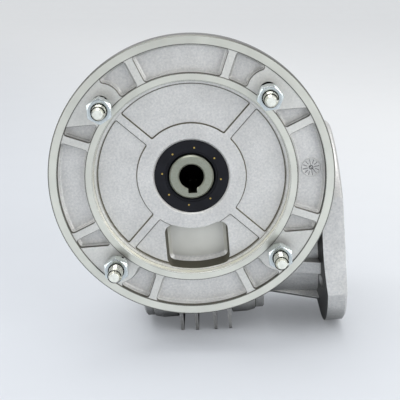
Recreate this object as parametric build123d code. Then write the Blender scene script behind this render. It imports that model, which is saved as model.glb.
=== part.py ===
from build123d import *
import math
import os

os.makedirs("parts", exist_ok=True)

# Worm gearbox, millimetres. Origin at the centre of the output bore.
# +X runs along the output shaft to the output flange, -Y looks out of the motor flange, +Z is up.

# Gear set
module = 2.5
wheel_teeth = 30
worm_starts = 1
worm_pitch_d = 25.0
pressure_angle = 20.0
mesh_backlash = 0.40
tooth_root_gap = 0.60
wheel_width = 22.0
wheel_rim_seat_d = 58.0
wheel_outer_extra = 1.0
worm_thread_length = 44.0

# Shafts
input_shaft_d = 25.0
input_bore_d = 14.0
input_key_width = 5.0
input_key_top = 9.3
input_bore_depth = 32.0
output_bore_d = 25.0
output_shaft_d = 40.0
output_key_width = 8.0
output_key_top = 15.8
output_shaft_overhang = 6.0
output_collar_d = 47.0
rear_journal_d = 17.0
bore_chamfer = 0.8

# Bearings: bore comes from the shaft, the rest is the catalogue size
front_bearing = {"od": 47.0, "width": 12.0, "ball": 6.6, "balls": 10}
rear_bearing = {"od": 40.0, "width": 12.0, "ball": 6.7, "balls": 8}
output_bearing = {"od": 68.0, "width": 15.0, "ball": 7.9, "balls": 12}
ball_gap = 0.04
ring_chamfer = 0.6

# Oil seals
input_seal_d = 42.0
input_seal_width = 7.0
output_seal_d = 62.0
output_seal_width = 8.0
lip_gap = 0.05

# Fits
press_gap = 0.02
screw_gap = 0.10
gasket_thickness = 0.5

# Motor flange, depths measured back from its front rim
motor_flange_d = 160.0
motor_bolt_circle = motor_flange_d * 13 / 16
motor_bolt_count = 4
motor_hole_d = 9.5
motor_register_d = motor_flange_d * 11 / 16
motor_register_depth = 5.0
rim_width = 5.0
rim_chamfer = 0.6
seat_drop = 0.7
ring_drop = 0.25
inner_ring_width = 4.2
outer_pocket_depth = 6.0
ring_back_depth = 11.0
step_width = 1.6
hub_drop = 5.8
panel_drop = 7.1
disc_back_depth = 12.0
mate_depth = 15.0
hub_ring_d = 61.0
hub_rib_width = 4.2
recess_width = 36.6
recess_floor_depth = 16.0
recess_edge = 1.0
recess_floor_break = 1.6
recess_wall = 3.5
recess_corner = 5.0
recess_draft = 8.0
outer_rib_width = 4.5
rib_angle = 22.4
split_angle = 0.1
bolt_boss_r = motor_flange_d * 0.073
side_pocket_rise = 0.6
casting_draft = 12.0
pocket_draft = 4.0
pocket_corner = motor_flange_d * 0.01
side_pocket_corner = pocket_corner * 0.9
floor_break = pocket_corner * 0.6
panel_draft = 25.0
panel_corner = 1.1
face_margin = 0.3
spigot_d = 60.0
spigot_length = 13.0
date_dial_r = 5.3
date_dial_at = 67.2

# Motor flange fixing to the gearcase
flange_screw_d = 6.0
flange_screw_x = 42.0
flange_screw_z = 16.0
flange_screw_grip = 5.5
flange_lug_r = 8.0
flange_pad_thickness = 7.5

# Gearcase
chamber_gap = 1.3
chamber_wall = 7.7
bearing_shoulder_gap = 2.5
case_end_gap = 2.5
mate_gap = 1.0
case_rim_height = 3.0
case_rim_start = 17.0
barrel_wall = 6.5
tunnel_gap = 2.5
front_barrel_r = 34.5
rear_length = 55.0
saddle_half_width = 22.0
fin_thickness = 2.5
fin_depth = 6.5
fin_half_length = 30.0
fin_positions = (-14.8, -5.7, 5.7, 14.8)
cavity_clearance = 0.6

# Side covers
cover_thickness = 5.0
cover_lip = 1.0
cover_spigot = 6.0
cover_bearing_wall = 4.0
cover_screw_inset = 4.3
cover_screw_d = 5.0
cover_screw_count = 4
cover_screw_turn = 25.0
cover_head_gap = 0.6
cover_screw_length = 14.0
cover_boss_r = 37.0
cover_boss_gap = 2.0
cover_rib_count = 8
cover_rib_width = 4.0

# Output flange
output_face_x = 85.0
output_flange_d = 125.0
output_flange_thickness = 11.5
output_flat = 55.0
output_bolt_circle = 100.0
output_hole_d = 8.5
output_hole_count = 4
output_hole_turn = 30.0
output_register_d = 70.0
output_register_depth = 5.0
bell_gap = 2.0
neck_wall = 9.0
neck_flare = 2.3
neck_rib_count = 8
neck_rib_turn = 18.5
neck_rib_width = 8.2
neck_rib_start = 5.0
neck_rib_height = 6.8
flange_back_slope = 3.5

# Motor bolts, M8
bolt_d = 8.0
bolt_reach = 23.5
hex_flats = 13.0
bolt_head_height = 5.3
nut_height = 6.5
spring_washer_d = 13.6
spring_washer_thickness = 2.0
spring_washer_slot = 1.2
upper_nut_slack = 8.2
lower_nut_slack = 4.4
upper_nut_turn = 12.0
lower_nut_turn = 25.0

# Plugs
plug_d = 10.0
plug_head_d = 14.0
plug_boss_r = 9.0

# Derived places
wheel_pitch_r = module * wheel_teeth / 2
worm_pitch_r = worm_pitch_d / 2
centre_distance = wheel_pitch_r + worm_pitch_r
lead = math.pi * module * worm_starts
lead_slope = lead / (math.pi * worm_pitch_d)
worm_tip_r = worm_pitch_r + module
worm_root_r = worm_pitch_r - module - tooth_root_gap + 0.1
wheel_throat_r = wheel_pitch_r + module
wheel_root_r = wheel_pitch_r - module - tooth_root_gap
wheel_outer_r = wheel_throat_r + wheel_outer_extra
bearing_boss_r = output_bearing["od"] / 2 + press_gap + cover_bearing_wall
chamber_r = max(wheel_outer_r, bearing_boss_r) + chamber_gap
case_r = chamber_r + chamber_wall
cover_r = case_r + cover_lip
cover_screw_r = cover_r - cover_screw_inset
cover_head_r = cover_screw_d * 0.85
mate_y = -(cover_r + mate_gap)
face_y = mate_y - mate_depth
bearing_x = wheel_width / 2 + bearing_shoulder_gap
bearing_end_x = bearing_x + output_bearing["width"]
case_half = bearing_end_x + case_end_gap
cover_in_x = case_half + gasket_thickness
cover_out_x = cover_in_x + cover_thickness
seal_in_x = bearing_end_x + 1.5
seal_out_x = seal_in_x + output_seal_width
boss_out_x = seal_out_x + cover_boss_gap
hub_half = boss_out_x + output_shaft_overhang
pad_y = mate_y + gasket_thickness
tunnel_r = worm_tip_r + tunnel_gap
front_bearing_y = mate_y - 0.5
front_bearing_end = front_bearing_y + front_bearing["width"]
spigot_end = mate_y + spigot_length
front_bore_end = spigot_end + 1.0
seal_face_y = face_y + hub_drop + 0.9
shaft_face_y = seal_face_y - 1.3
rear_bearing_end = rear_length - 9.0
rear_bearing_y = rear_bearing_end - rear_bearing["width"]

worm_axis = Axis((0, 0, centre_distance), (0, 1, 0))
worm_plane = Plane(origin=(0, 0, centre_distance), x_dir=(0, 1, 0), z_dir=(1, 0, 0))


def save(solid, name):
    export_step(solid, "parts/" + name + ".step")


def outline(points):
    return make_face(Polyline(*points, close=True))


# Solids turned about the output shaft, from (x, radius) points
def turned_x(points):
    return revolve(outline(points), Axis.X, 360)


# Solids turned about the worm shaft, from (y, radius) points
def turned_y(points):
    return revolve(worm_plane * outline(points), worm_axis, 360)


# A plane at a depth behind the motor flange's rim, looking into the casting
def depth_plane(depth):
    origin = (0, face_y + depth, centre_distance)
    return Plane(origin=origin, x_dir=(-1, 0, 0), z_dir=(0, 1, 0))


# A drafted well with rounded corners, cut from one depth to another
def well(sketch, corner, top_depth, floor_depth, draft):
    rounded = fillet(sketch.vertices(), corner)
    return extrude(depth_plane(top_depth) * rounded, amount=floor_depth - top_depth, taper=draft)


# The same with the edge of its floor broken at 45 degrees
def pocket(sketch, corner, top_depth, floor_depth, draft, foot):
    body = well(sketch, corner, top_depth, floor_depth, draft)
    return chamfer(body.faces().sort_by(Axis.Y)[-1].edges(), foot)


def annulus(outer_r, inner_r):
    return Circle(outer_r) - Circle(inner_r)


# A wedge of the plane between two angles, wide enough to pass the flange's rim
def wedge(start, end, reach=motor_flange_d):
    first = (reach * math.cos(math.radians(start)), reach * math.sin(math.radians(start)))
    middle = math.radians((start + end) / 2)
    second = (reach * math.cos(math.radians(end)), reach * math.sin(math.radians(end)))
    far = (2 * reach * math.cos(middle), 2 * reach * math.sin(middle))
    return outline([(0, 0), first, far, second])


def ring_places(radius, count, start=0.0):
    step = 360 / count
    angles = [math.radians(start + step * i) for i in range(count)]
    return [(radius * math.cos(a), radius * math.sin(a)) for a in angles]


# Solid cylinder along Y between two places, centred at (x, z)
def rod_y(x, z, radius, start, end):
    base = Plane(origin=(x, start, z), x_dir=(1, 0, 0), z_dir=(0, 1, 0))
    return extrude(base * Circle(radius), amount=end - start)


# Solid cylinder along X between two places, centred at (y, z)
def rod_x(y, z, radius, start, end):
    base = Plane(origin=(start, y, z), x_dir=(0, 1, 0), z_dir=(1, 0, 0))
    return extrude(base * Circle(radius), amount=end - start)


# Hexagonal block along Y with its corners chamfered at one or both ends
def hexagon_y(x, z, flats, start, end, front=True, back=True, turn=0.0):
    base = Plane(origin=(x, start, z), x_dir=(1, 0, 0), z_dir=(0, 1, 0))
    sketch = RegularPolygon(flats / 2, 6, major_radius=False, rotation=turn)
    block = extrude(base * sketch, amount=end - start)
    corner = flats / 2 / math.cos(math.pi / 6)
    cut = (corner - flats / 2) * 0.6
    near = flats / 2 * 0.97 if front else corner + 1
    far = flats / 2 * 0.97 if back else corner + 1
    profile = Plane(origin=(x, 0, z), x_dir=(0, 1, 0), z_dir=(1, 0, 0)) * outline(
        [
            (start, 0), (start, near), (start + cut, corner + 0.2),
            (end - cut, corner + 0.2), (end, far), (end, 0),
        ]
    )
    return block & revolve(profile, Axis((x, 0, z), (0, 1, 0)), 360)


outer_pocket_r = motor_flange_d / 2 - rim_width - face_margin
ring_r = motor_register_d / 2 + inner_ring_width
recess_outer_r = motor_register_d / 2 - recess_edge
bolt_r = motor_bolt_circle / 2
motor_bolt_places = ring_places(bolt_r, motor_bolt_count, 45)
cover_screw_places = ring_places(cover_screw_r, cover_screw_count, cover_screw_turn)
flange_screw_places = [
    (side * flange_screw_x, end * flange_screw_z) for side in (-1, 1) for end in (-1, 1)
]


# Twelve pockets between the ribs of the outer ring
def outer_pockets():
    band = annulus(outer_pocket_r, ring_r + face_margin)
    rib = Pos(motor_flange_d / 2, 0) * Rectangle(motor_flange_d, outer_rib_width)
    for quarter in range(4):
        for side in (-1, 1):
            band = band - Rot(0, 0, 90 * quarter + side * rib_angle) * rib
    tools = []
    for quarter in range(4):
        middle = 90 * quarter
        big = band & wedge(middle - rib_angle, middle + rib_angle)
        tools.append(pocket(big, pocket_corner, seat_drop, outer_pocket_depth, pocket_draft, floor_break))
        for side in (-1, 1):
            start = middle + side * rib_angle
            stop = middle + side * (180 / motor_bolt_count - split_angle)
            small = band & wedge(min(start, stop), max(start, stop))
            towards = math.radians(middle + side * 180 / motor_bolt_count)
            x, z = bolt_r * math.cos(towards), bolt_r * math.sin(towards)
            if quarter % 2:
                small = small - Pos(x, z) * Circle(bolt_boss_r)
                corner, foot = pocket_corner, floor_break
            else:
                shelf = abs(z) - bolt_boss_r + side_pocket_rise
                small = small & Rectangle(2.2 * motor_flange_d, 2 * shelf)
                corner, foot = side_pocket_corner, floor_break / 2
            tools.append(pocket(small, corner, seat_drop, outer_pocket_depth, pocket_draft, foot))
    return tools


# The deep recess below the hub
def recess_blank():
    hub_r = hub_ring_d / 2
    slab = Pos(0, -(hub_r + recess_outer_r) / 2) * Rectangle(recess_width, recess_outer_r)
    return slab & annulus(recess_outer_r, hub_r - 0.6)


def recess_bump(grow):
    return offset(fillet(recess_blank().vertices(), recess_corner), amount=grow)


# Four sunk panels between the diagonal ribs round the hub
def hub_panels():
    tools = []
    band = annulus(motor_register_d / 2 - step_width - face_margin, hub_ring_d / 2)
    cross = Rectangle(motor_register_d, hub_rib_width)
    spokes = Rot(0, 0, 45) * cross + Rot(0, 0, 135) * cross
    for piece in (band - spokes).faces():
        shape = Sketch() + piece
        tools.append(well(shape, panel_corner, hub_drop, panel_drop, panel_draft))
    return tools


# The mating pad on the gearcase side: a hull round the four fixing lugs
def pad_sketch():
    lugs = Sketch() + [Pos(x, z) * Circle(flange_lug_r) for x, z in flange_screw_places]
    core = Circle(spigot_d / 2 + barrel_wall * 0.9)
    return make_hull(lugs.edges()) + core


def motor_flange():
    outer = motor_flange_d / 2
    inner = motor_register_d / 2
    bore = input_seal_d / 2
    turned = [
        (rim_chamfer, outer), (ring_back_depth - 1.0, outer), (ring_back_depth, outer - 1.0),
        (ring_back_depth, inner + 1.5), (disc_back_depth, inner - 0.5),
        (disc_back_depth, spigot_d / 2), (mate_depth + spigot_length, spigot_d / 2 - press_gap),
        (mate_depth + spigot_length, front_bearing["od"] / 2 + press_gap),
        (mate_depth - 0.5, front_bearing["od"] / 2 + press_gap), (mate_depth - 0.5, bore),
        (hub_drop + 1.0, bore), (hub_drop, bore + 1.0), (hub_drop, inner - step_width),
        (motor_register_depth, inner - step_width), (motor_register_depth, inner),
        (ring_drop + 0.5, inner), (ring_drop, inner + 0.5), (ring_drop, ring_r), (seat_drop, ring_r),
        (seat_drop, outer - rim_width), (0, outer - rim_width), (0, outer - rim_chamfer),
    ]
    body = turned_y([(face_y + depth, radius) for depth, radius in turned])
    pad = extrude(depth_plane(disc_back_depth - 1) * pad_sketch(), amount=mate_depth - disc_back_depth + 1)
    bump_sketch = recess_bump(recess_wall)
    bump = extrude(
        depth_plane(disc_back_depth - 1) * bump_sketch,
        amount=recess_floor_depth + recess_wall - disc_back_depth + 1, taper=casting_draft,
    )
    body = body + pad + bump
    body = body - rod_y(0, centre_distance, front_bearing["od"] / 2 + press_gap, mate_y - 0.5, spigot_end + 1)
    body = body - rod_y(0, centre_distance, bore, face_y, mate_y)
    for tool in outer_pockets() + hub_panels():
        body = body - tool
    body = body - pocket(
        recess_blank(), recess_corner, motor_register_depth, recess_floor_depth,
        recess_draft, recess_floor_break,
    )
    hole_end = face_y + ring_back_depth + 5
    for x, z in motor_bolt_places:
        body = body - rod_y(x, centre_distance + z, motor_hole_d / 2, face_y - 1, hole_end)
    hole_start = mate_y - flange_screw_grip - 0.5
    for x, z in flange_screw_places:
        body = body - rod_y(x, centre_distance + z, flange_screw_d / 2, hole_start, mate_y + 1)
    dial = turned_dial()
    return body + dial


# Plain round date insert cast into the right-hand pocket, with no marks
def turned_dial():
    floor = outer_pocket_depth
    rim = annulus(date_dial_r, date_dial_r - 0.6)
    place = depth_plane(floor - 0.35) * Pos(-date_dial_at, 0)
    return extrude(place * rim, amount=0.6)


# Gearcase casting
def gearcase():
    rim_r = case_r + case_rim_height
    chamber = turned_x([
        (-case_half, 0), (-case_half, rim_r - 1.2), (-case_half + 5, rim_r), (-case_rim_start, rim_r),
        (-case_rim_start + 1, case_r), (case_rim_start - 1, case_r), (case_rim_start, rim_r),
        (case_half - 5, rim_r), (case_half, rim_r - 1.2), (case_half, 0),
    ])
    rear_r = rear_bearing["od"] / 2 + barrel_wall
    barrel = turned_y([
        (pad_y, 0), (pad_y, front_barrel_r), (front_bore_end + 1, front_barrel_r - 1),
        (front_bore_end + 9, tunnel_r + barrel_wall), (rear_bearing_y - 5, tunnel_r + barrel_wall),
        (rear_bearing_y, rear_r), (rear_length - 1, rear_r), (rear_length, rear_r - 1), (rear_length, 0),
    ])
    saddle_length = rear_bearing_y - pad_y - 6
    saddle = Pos(0, (rear_bearing_y + pad_y) / 2, centre_distance * 0.7) * Box(
        2 * saddle_half_width, saddle_length, centre_distance * 0.6)
    pad = extrude(depth_plane(mate_depth + gasket_thickness) * pad_sketch(), amount=flange_pad_thickness)
    body = chamber + barrel + saddle + pad
    for x in fin_positions:
        body = body + fin(x)
    body = body + plug_bosses()
    body = body - rod_x(0, 0, chamber_r, -case_half - 1, case_half + 1)
    body = body - rod_y(0, centre_distance, tunnel_r, mate_y - 1, rear_bearing_y + 1)
    body = body - rod_y(0, centre_distance, spigot_d / 2, mate_y - 1, front_bore_end)
    rear_bore = rear_bearing["od"] / 2 + press_gap
    body = body - rod_y(0, centre_distance, rear_bore, rear_bearing_y, rear_length + 1)
    body = body - rod_y(0, centre_distance, rear_bore + 1.3, rear_bearing_end + 0.1, rear_bearing_end + 1.8)
    bump = extrude(
        depth_plane(mate_depth - 1) * recess_bump(recess_wall + cavity_clearance),
        amount=recess_floor_depth + recess_wall + cavity_clearance - mate_depth + 1,
    )
    body = body - bump
    for x, z in flange_screw_places:
        hole_end = pad_y + 3 * flange_pad_thickness
        body = body - rod_y(x, centre_distance + z, flange_screw_d / 2 + 0.3, mate_y - 1, hole_end)
    for y, z in cover_screw_places:
        for side in (-1, 1):
            ends = sorted((side * (case_half - cover_screw_length + 3), side * (case_half + 1)))
            body = body - rod_x(y, z, cover_screw_d / 2, ends[0], ends[1])
    return body - plug_holes()


# One cooling fin below the case, tapering to its edge
def fin(x):
    top = -case_r * 0.80
    bottom = -(case_r + fin_depth)
    side = Plane(origin=(x, 0, 0), x_dir=(0, 1, 0), z_dir=(1, 0, 0))
    shape = outline([
        (-fin_half_length - 2, top), (-fin_half_length + 1, bottom + 1), (-fin_half_length + 2, bottom),
        (fin_half_length - 2, bottom), (fin_half_length - 1, bottom + 1), (fin_half_length + 2, top),
    ])
    plate = extrude(side * shape, amount=fin_thickness / 2, both=True)
    front = Plane(origin=(0, 0, 0), x_dir=(1, 0, 0), z_dir=(0, -1, 0))
    taper = outline([
        (x - fin_thickness * 0.36, bottom), (x + fin_thickness * 0.36, bottom),
        (x + fin_thickness / 2, top), (x - fin_thickness / 2, top),
    ])
    return plate & extrude(front * taper, amount=2 * fin_half_length, both=True)


plug_top_z = centre_distance + tunnel_r + barrel_wall + 2.0
plug_rear_y = case_r + 3.0
plug_rear_z = -20.0


def plug_bosses():
    top = Pos(0, 14, (centre_distance + plug_top_z) / 2) * Cylinder(plug_boss_r, plug_top_z - centre_distance)
    rear = rod_y(0, plug_rear_z, plug_boss_r, chamber_r - 3, plug_rear_y)
    return top + rear


def plug_holes():
    top = Pos(0, 14, plug_top_z - 5) * Cylinder(plug_d / 2, 12)
    rear = rod_y(0, plug_rear_z, plug_d / 2, chamber_r - 8, plug_rear_y + 1)
    return top + rear


# One screwed plug pointing along +Y, its washer face at the origin
def plug():
    shank = rod_y(0, 0, plug_d / 2 - screw_gap, -8, 0)
    head = rod_y(0, 0, plug_head_d / 2, 1.2, 5.2)
    neck = rod_y(0, 0, plug_d / 2 - screw_gap, 0, 1.4)
    mouth = Plane(origin=(0, 5.3, 0), x_dir=(1, 0, 0), z_dir=(0, -1, 0))
    socket = extrude(mouth * RegularPolygon(2.5, 6, major_radius=False), amount=3.6)
    return shank + neck + head - socket


def plug_washer():
    return rod_y(0, 0, plug_head_d / 2 - 0.3, 0, 1.2) - rod_y(0, 0, plug_d / 2, -1, 2)


def at_plugs(solid):
    top = Pos(0, 14, plug_top_z) * Rot(90, 0, 0) * solid
    rear = Pos(0, plug_rear_y, plug_rear_z) * solid
    return Compound(children=[top, rear])


# Screw holes common to both covers
def cut_cover_screws(body, side):
    for y, z in cover_screw_places:
        ends = sorted((side * (case_half - 1), side * (cover_out_x + 8)))
        body = body - rod_x(y, z, cover_screw_d / 2 + 0.25, ends[0], ends[1])
        ends = sorted((side * cover_out_x, side * (cover_out_x + cover_screw_d + cover_head_gap)))
        body = body - rod_x(y, z, cover_head_r + cover_head_gap, ends[0], ends[1])
    return body


# The part of a cover that carries the output bearing and seal, on the +X side
def cover_profile():
    bearing_r = output_bearing["od"] / 2 + press_gap
    seal_r = output_seal_d / 2
    boss_r = bearing_boss_r
    spigot_r = chamber_r - press_gap
    return [
        (bearing_x + 0.1, bearing_r), (bearing_x + 0.1, boss_r), (case_half - cover_spigot, boss_r),
        (case_half - cover_spigot, spigot_r), (cover_in_x, spigot_r), (cover_in_x, cover_r),
        (cover_out_x - 0.8, cover_r), (cover_out_x, cover_r - 0.8), (cover_out_x, cover_boss_r),
        (boss_out_x - 1, cover_boss_r - 0.5), (boss_out_x, cover_boss_r - 1.5), (boss_out_x, seal_r + 0.8),
        (boss_out_x - 0.8, seal_r), (bearing_end_x, seal_r), (bearing_end_x, bearing_r),
    ]


def cover_rib(angle):
    rib = outline([
        (cover_out_x - 1, output_seal_d / 2 + 2), (boss_out_x - 1.5, output_seal_d / 2 + 2),
        (boss_out_x - 1.5, cover_boss_r), (cover_out_x + 0.5, cover_r - 1.5),
        (cover_out_x - 1, cover_r - 1.5),
    ])
    return Rot(angle, 0, 0) * extrude(rib, amount=cover_rib_width / 2, both=True)


def side_cover():
    body = turned_x(cover_profile())
    for i in range(cover_rib_count):
        body = body + cover_rib(360 / cover_rib_count * (i + 0.5))
    body = body.mirror(Plane.YZ)
    return cut_cover_screws(body, -1)


def output_flange():
    outer = output_flange_d / 2
    inner_x = output_face_x - output_flange_thickness
    root_x = inner_x - flange_back_slope
    bell_r = output_seal_d / 2 + bell_gap
    neck_r = bell_r + neck_wall
    seal_r = output_seal_d / 2
    bearing_r = output_bearing["od"] / 2 + press_gap
    profile = [
        (bearing_x + 0.1, bearing_r), (bearing_x + 0.1, bearing_boss_r),
        (case_half - cover_spigot, bearing_boss_r),
        (case_half - cover_spigot, chamber_r - press_gap), (cover_in_x, chamber_r - press_gap),
        (cover_in_x, cover_r), (cover_out_x - 0.8, cover_r), (cover_out_x, cover_r - 0.8),
        (cover_out_x, neck_r), (root_x, neck_r + neck_flare), (inner_x, outer),
        (output_face_x - 1, outer), (output_face_x, outer - 1),
        (output_face_x, output_register_d / 2 + 0.7), (output_face_x - 0.7, output_register_d / 2),
        (output_face_x - output_register_depth, output_register_d / 2),
        (output_face_x - output_register_depth, bell_r), (boss_out_x, bell_r), (boss_out_x, seal_r),
        (bearing_end_x, seal_r), (bearing_end_x, bearing_r),
    ]
    body = turned_x(profile)
    for i in range(neck_rib_count):
        rib = outline([
            (cover_out_x + neck_rib_start, bell_r + 1), (cover_out_x + neck_rib_start, neck_r),
            (root_x, neck_r + neck_rib_height), (inner_x + 0.5, neck_r + neck_rib_height),
            (inner_x + 0.5, bell_r + 1),
        ])
        solid = extrude(rib, amount=neck_rib_width / 2, both=True)
        body = body + Rot(360 / neck_rib_count * i + neck_rib_turn, 0, 0) * solid
    flat = Pos(inner_x, -output_flat - outer, 0) * Box(4 * output_flange_thickness, 2 * outer, 4 * outer)
    body = body - flat
    for y, z in ring_places(output_bolt_circle / 2, output_hole_count, output_hole_turn):
        body = body - rod_x(y, z, output_hole_d / 2, root_x - 1, output_face_x + 1)
    return cut_cover_screws(body, 1)


def gasket_x(side):
    near = side * case_half
    far = side * cover_in_x
    start, end = sorted((near, far))
    ring = rod_x(0, 0, cover_r, start, end) - rod_x(0, 0, chamber_r, start - 1, end + 1)
    for y, z in cover_screw_places:
        ring = ring - rod_x(y, z, cover_screw_d / 2 + 0.25, start - 1, end + 1)
    return ring


def motor_gasket():
    sheet = extrude(depth_plane(mate_depth) * pad_sketch(), amount=gasket_thickness)
    sheet = sheet - rod_y(0, centre_distance, spigot_d / 2, mate_y - 1, pad_y + 1)
    bump = extrude(depth_plane(mate_depth - 1) * recess_bump(recess_wall + cavity_clearance), amount=3)
    sheet = sheet - bump
    for x, z in flange_screw_places:
        sheet = sheet - rod_y(x, centre_distance + z, flange_screw_d / 2 + 0.3, mate_y - 1, pad_y + 1)
    return sheet


# Socket-head cap screw along X, head outwards on the given side
def cover_screw(y, z, side):
    head = rod_x(y, z, cover_head_r, cover_out_x, cover_out_x + cover_screw_d)
    tip = cover_out_x - cover_screw_length
    shank = rod_x(y, z, cover_screw_d / 2 - screw_gap, tip, cover_out_x + 1)
    hole = Plane(origin=(cover_out_x + cover_screw_d * 0.45, y, z), x_dir=(0, 1, 0), z_dir=(1, 0, 0))
    socket = extrude(hole * RegularPolygon(cover_screw_d * 0.4, 6, major_radius=False), amount=cover_screw_d)
    screw = head + shank - socket
    return screw if side > 0 else screw.mirror(Plane.YZ)


def cover_screws(side):
    places = cover_screw_places
    return Compound(children=[cover_screw(y, z, side) for y, z in places])


def motor_flange_screws():
    screws = []
    back = pad_y + flange_pad_thickness
    for x, z in flange_screw_places:
        height = centre_distance + z
        shank = rod_y(x, height, flange_screw_d / 2 - screw_gap, mate_y - flange_screw_grip, back + 1)
        head = hexagon_y(x, height, 10.0, back, back + 4.0, front=False)
        screws.append(shank + head)
    return Compound(children=screws)


# Motor bolts with their nuts and spring washers, screwed on part of the way as supplied
def motor_bolt(x, z):
    height = centre_distance + z
    back = face_y + ring_back_depth
    shank = rod_y(x, height, bolt_d / 2, face_y - bolt_reach + 1, back + 1)
    shank = chamfer(shank.edges().sort_by(Axis.Y)[0], 0.8)
    tip = rod_y(x, height, bolt_d / 2 - 0.8, face_y - bolt_reach, face_y - bolt_reach + 2)
    head = hexagon_y(x, height, hex_flats, back, back + bolt_head_height, front=False)
    return shank + tip + head


def nut_slack(z):
    return upper_nut_slack if z > 0 else lower_nut_slack


seat_y = face_y + seat_drop


def spring_washer(x, z):
    back = seat_y - nut_slack(z)
    front = back - spring_washer_thickness
    height = centre_distance + z
    ring = rod_y(x, height, spring_washer_d / 2, front, back)
    ring = ring - rod_y(x, height, bolt_d / 2 + 0.15, front - 1, back + 1)
    slot = Rot(0, 0, 20) * Box(spring_washer_slot, 8, spring_washer_d)
    return ring - Pos(x, (front + back) / 2, height) * Rot(0, 35, 0) * Pos(0, 0, spring_washer_d / 2) * slot


def motor_nut(x, z):
    back = seat_y - nut_slack(z) - spring_washer_thickness
    turn = upper_nut_turn if z > 0 else lower_nut_turn
    nut = hexagon_y(x, centre_distance + z, hex_flats, back - nut_height, back, turn=turn)
    return nut - rod_y(x, centre_distance + z, bolt_d / 2 + 0.05, back - nut_height - 1, back + 1)


def at_bolts(piece):
    return Compound(children=[piece(x, z) for x, z in motor_bolt_places])


# Ball bearings: outer ring, inner ring and balls, from a (place, radius) profile and a turning function
def groove_profile(start, width, flat_r, far_r, pitch_r, ball_r, outer):
    middle = start + width / 2
    groove_r = ball_r + ball_gap
    half = math.sqrt(groove_r ** 2 - (pitch_r - flat_r) ** 2)
    end = start + width
    deep = pitch_r + groove_r if outer else pitch_r - groove_r
    c = ring_chamfer if outer else -ring_chamfer
    lines = [
        Line((middle + half, flat_r), (end, flat_r)),
        Line((end, flat_r), (end, far_r - c)),
        Line((end, far_r - c), (end - ring_chamfer, far_r)),
        Line((end - ring_chamfer, far_r), (start + ring_chamfer, far_r)),
        Line((start + ring_chamfer, far_r), (start, far_r - c)),
        Line((start, far_r - c), (start, flat_r)),
        Line((start, flat_r), (middle - half, flat_r)),
        ThreePointArc((middle - half, flat_r), (middle, deep), (middle + half, flat_r)),
    ]
    return make_face(lines)


def bearing_rings(start, size, bore_r):
    outer_r = size["od"] / 2
    pitch_r = (outer_r + bore_r) / 2
    ball_r = size["ball"] / 2
    outer_flat = pitch_r + ball_r * 0.55
    inner_flat = pitch_r - ball_r * 0.55
    outer = groove_profile(start, size["width"], outer_flat, outer_r, pitch_r, ball_r, True)
    inner = groove_profile(start, size["width"], inner_flat, bore_r + press_gap, pitch_r, ball_r, False)
    return outer, inner, pitch_r, ball_r


def balls_in_ring(pitch_r, ball_r, count, middle, along_x):
    spheres = []
    for a, b in ring_places(pitch_r, count, 360 / count / 2):
        place = Pos(middle, a, b) if along_x else Pos(a, middle, centre_distance + b)
        spheres.append(place * Sphere(ball_r))
    return Compound(children=spheres)


def save_worm_bearing(name, start, size, bore_r):
    outer, inner, pitch_r, ball_r = bearing_rings(start, size, bore_r)
    save(revolve(worm_plane * outer, worm_axis, 360), name + "_outer_ring")
    save(revolve(worm_plane * inner, worm_axis, 360), name + "_inner_ring")
    save(balls_in_ring(pitch_r, ball_r, size["balls"], start + size["width"] / 2, False), name + "_balls")


def save_output_bearing(name, side):
    size = output_bearing
    outer, inner, pitch_r, ball_r = bearing_rings(bearing_x, size, output_shaft_d / 2)
    middle = side * (bearing_x + size["width"] / 2)
    for sketch, part in ((outer, "_outer_ring"), (inner, "_inner_ring")):
        ring = revolve(sketch, Axis.X, 360)
        save(ring if side > 0 else ring.mirror(Plane.YZ), name + part)
    save(balls_in_ring(pitch_r, ball_r, size["balls"], middle, True), name + "_balls")


# Rubber-covered shaft seal: (place, radius) points, front face first
def seal_profile(start, width, outer_r, shaft_r):
    lip = shaft_r + lip_gap
    return [
        (start, outer_r - 0.4), (start + 0.4, outer_r - press_gap), (start + width, outer_r - press_gap),
        (start + width, outer_r - 2), (start + 2.2, outer_r - 2), (start + 2.2, lip + 2.6),
        (start + width - 1.5, lip + 2.0), (start + width - 1.5, lip), (start + width - 2.2, lip),
        (start + 2.0, lip + 0.9), (start + 1.2, lip + 0.7), (start + 0.5, lip + 1.3),
        (start + 0.5, lip + 2.0), (start, lip + 2.3),
    ]


def input_seal():
    return turned_y(seal_profile(seal_face_y, input_seal_width, input_seal_d / 2, input_shaft_d / 2))


def output_seal(side):
    points = seal_profile(-seal_out_x, output_seal_width, output_seal_d / 2, output_shaft_d / 2)
    ring = turned_x(points)
    return ring if side < 0 else ring.mirror(Plane.YZ)


def worm_thread():
    embed = 0.3
    foot = worm_root_r - embed
    slope = math.tan(math.radians(pressure_angle))
    half_pitch = math.pi * module / 4 - mesh_backlash / 4
    half_foot = half_pitch + (worm_pitch_r - foot) * slope
    half_tip = half_pitch - module * slope
    turns = math.ceil(worm_thread_length / lead) + 1.5
    start = -(turns / 2 * lead)
    shift = (turns / 2) % 1
    helix = Helix(pitch=lead, height=turns * lead, radius=foot, center=(0, 0, start))
    section = Plane(origin=(0, 0, start), x_dir=(1, 0, 0), z_dir=(0, -1, 0)) * outline([
        (foot, -half_foot), (foot, half_foot), (worm_tip_r, half_tip), (worm_tip_r, -half_tip),
    ])
    thread = sweep(section, path=helix, is_frenet=True)
    # Turned so that the thread's middle lies straight below the axis at the middle of its length
    at_middle = 360 * shift
    return Rot(0, 0, 90 - at_middle) * thread


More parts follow.
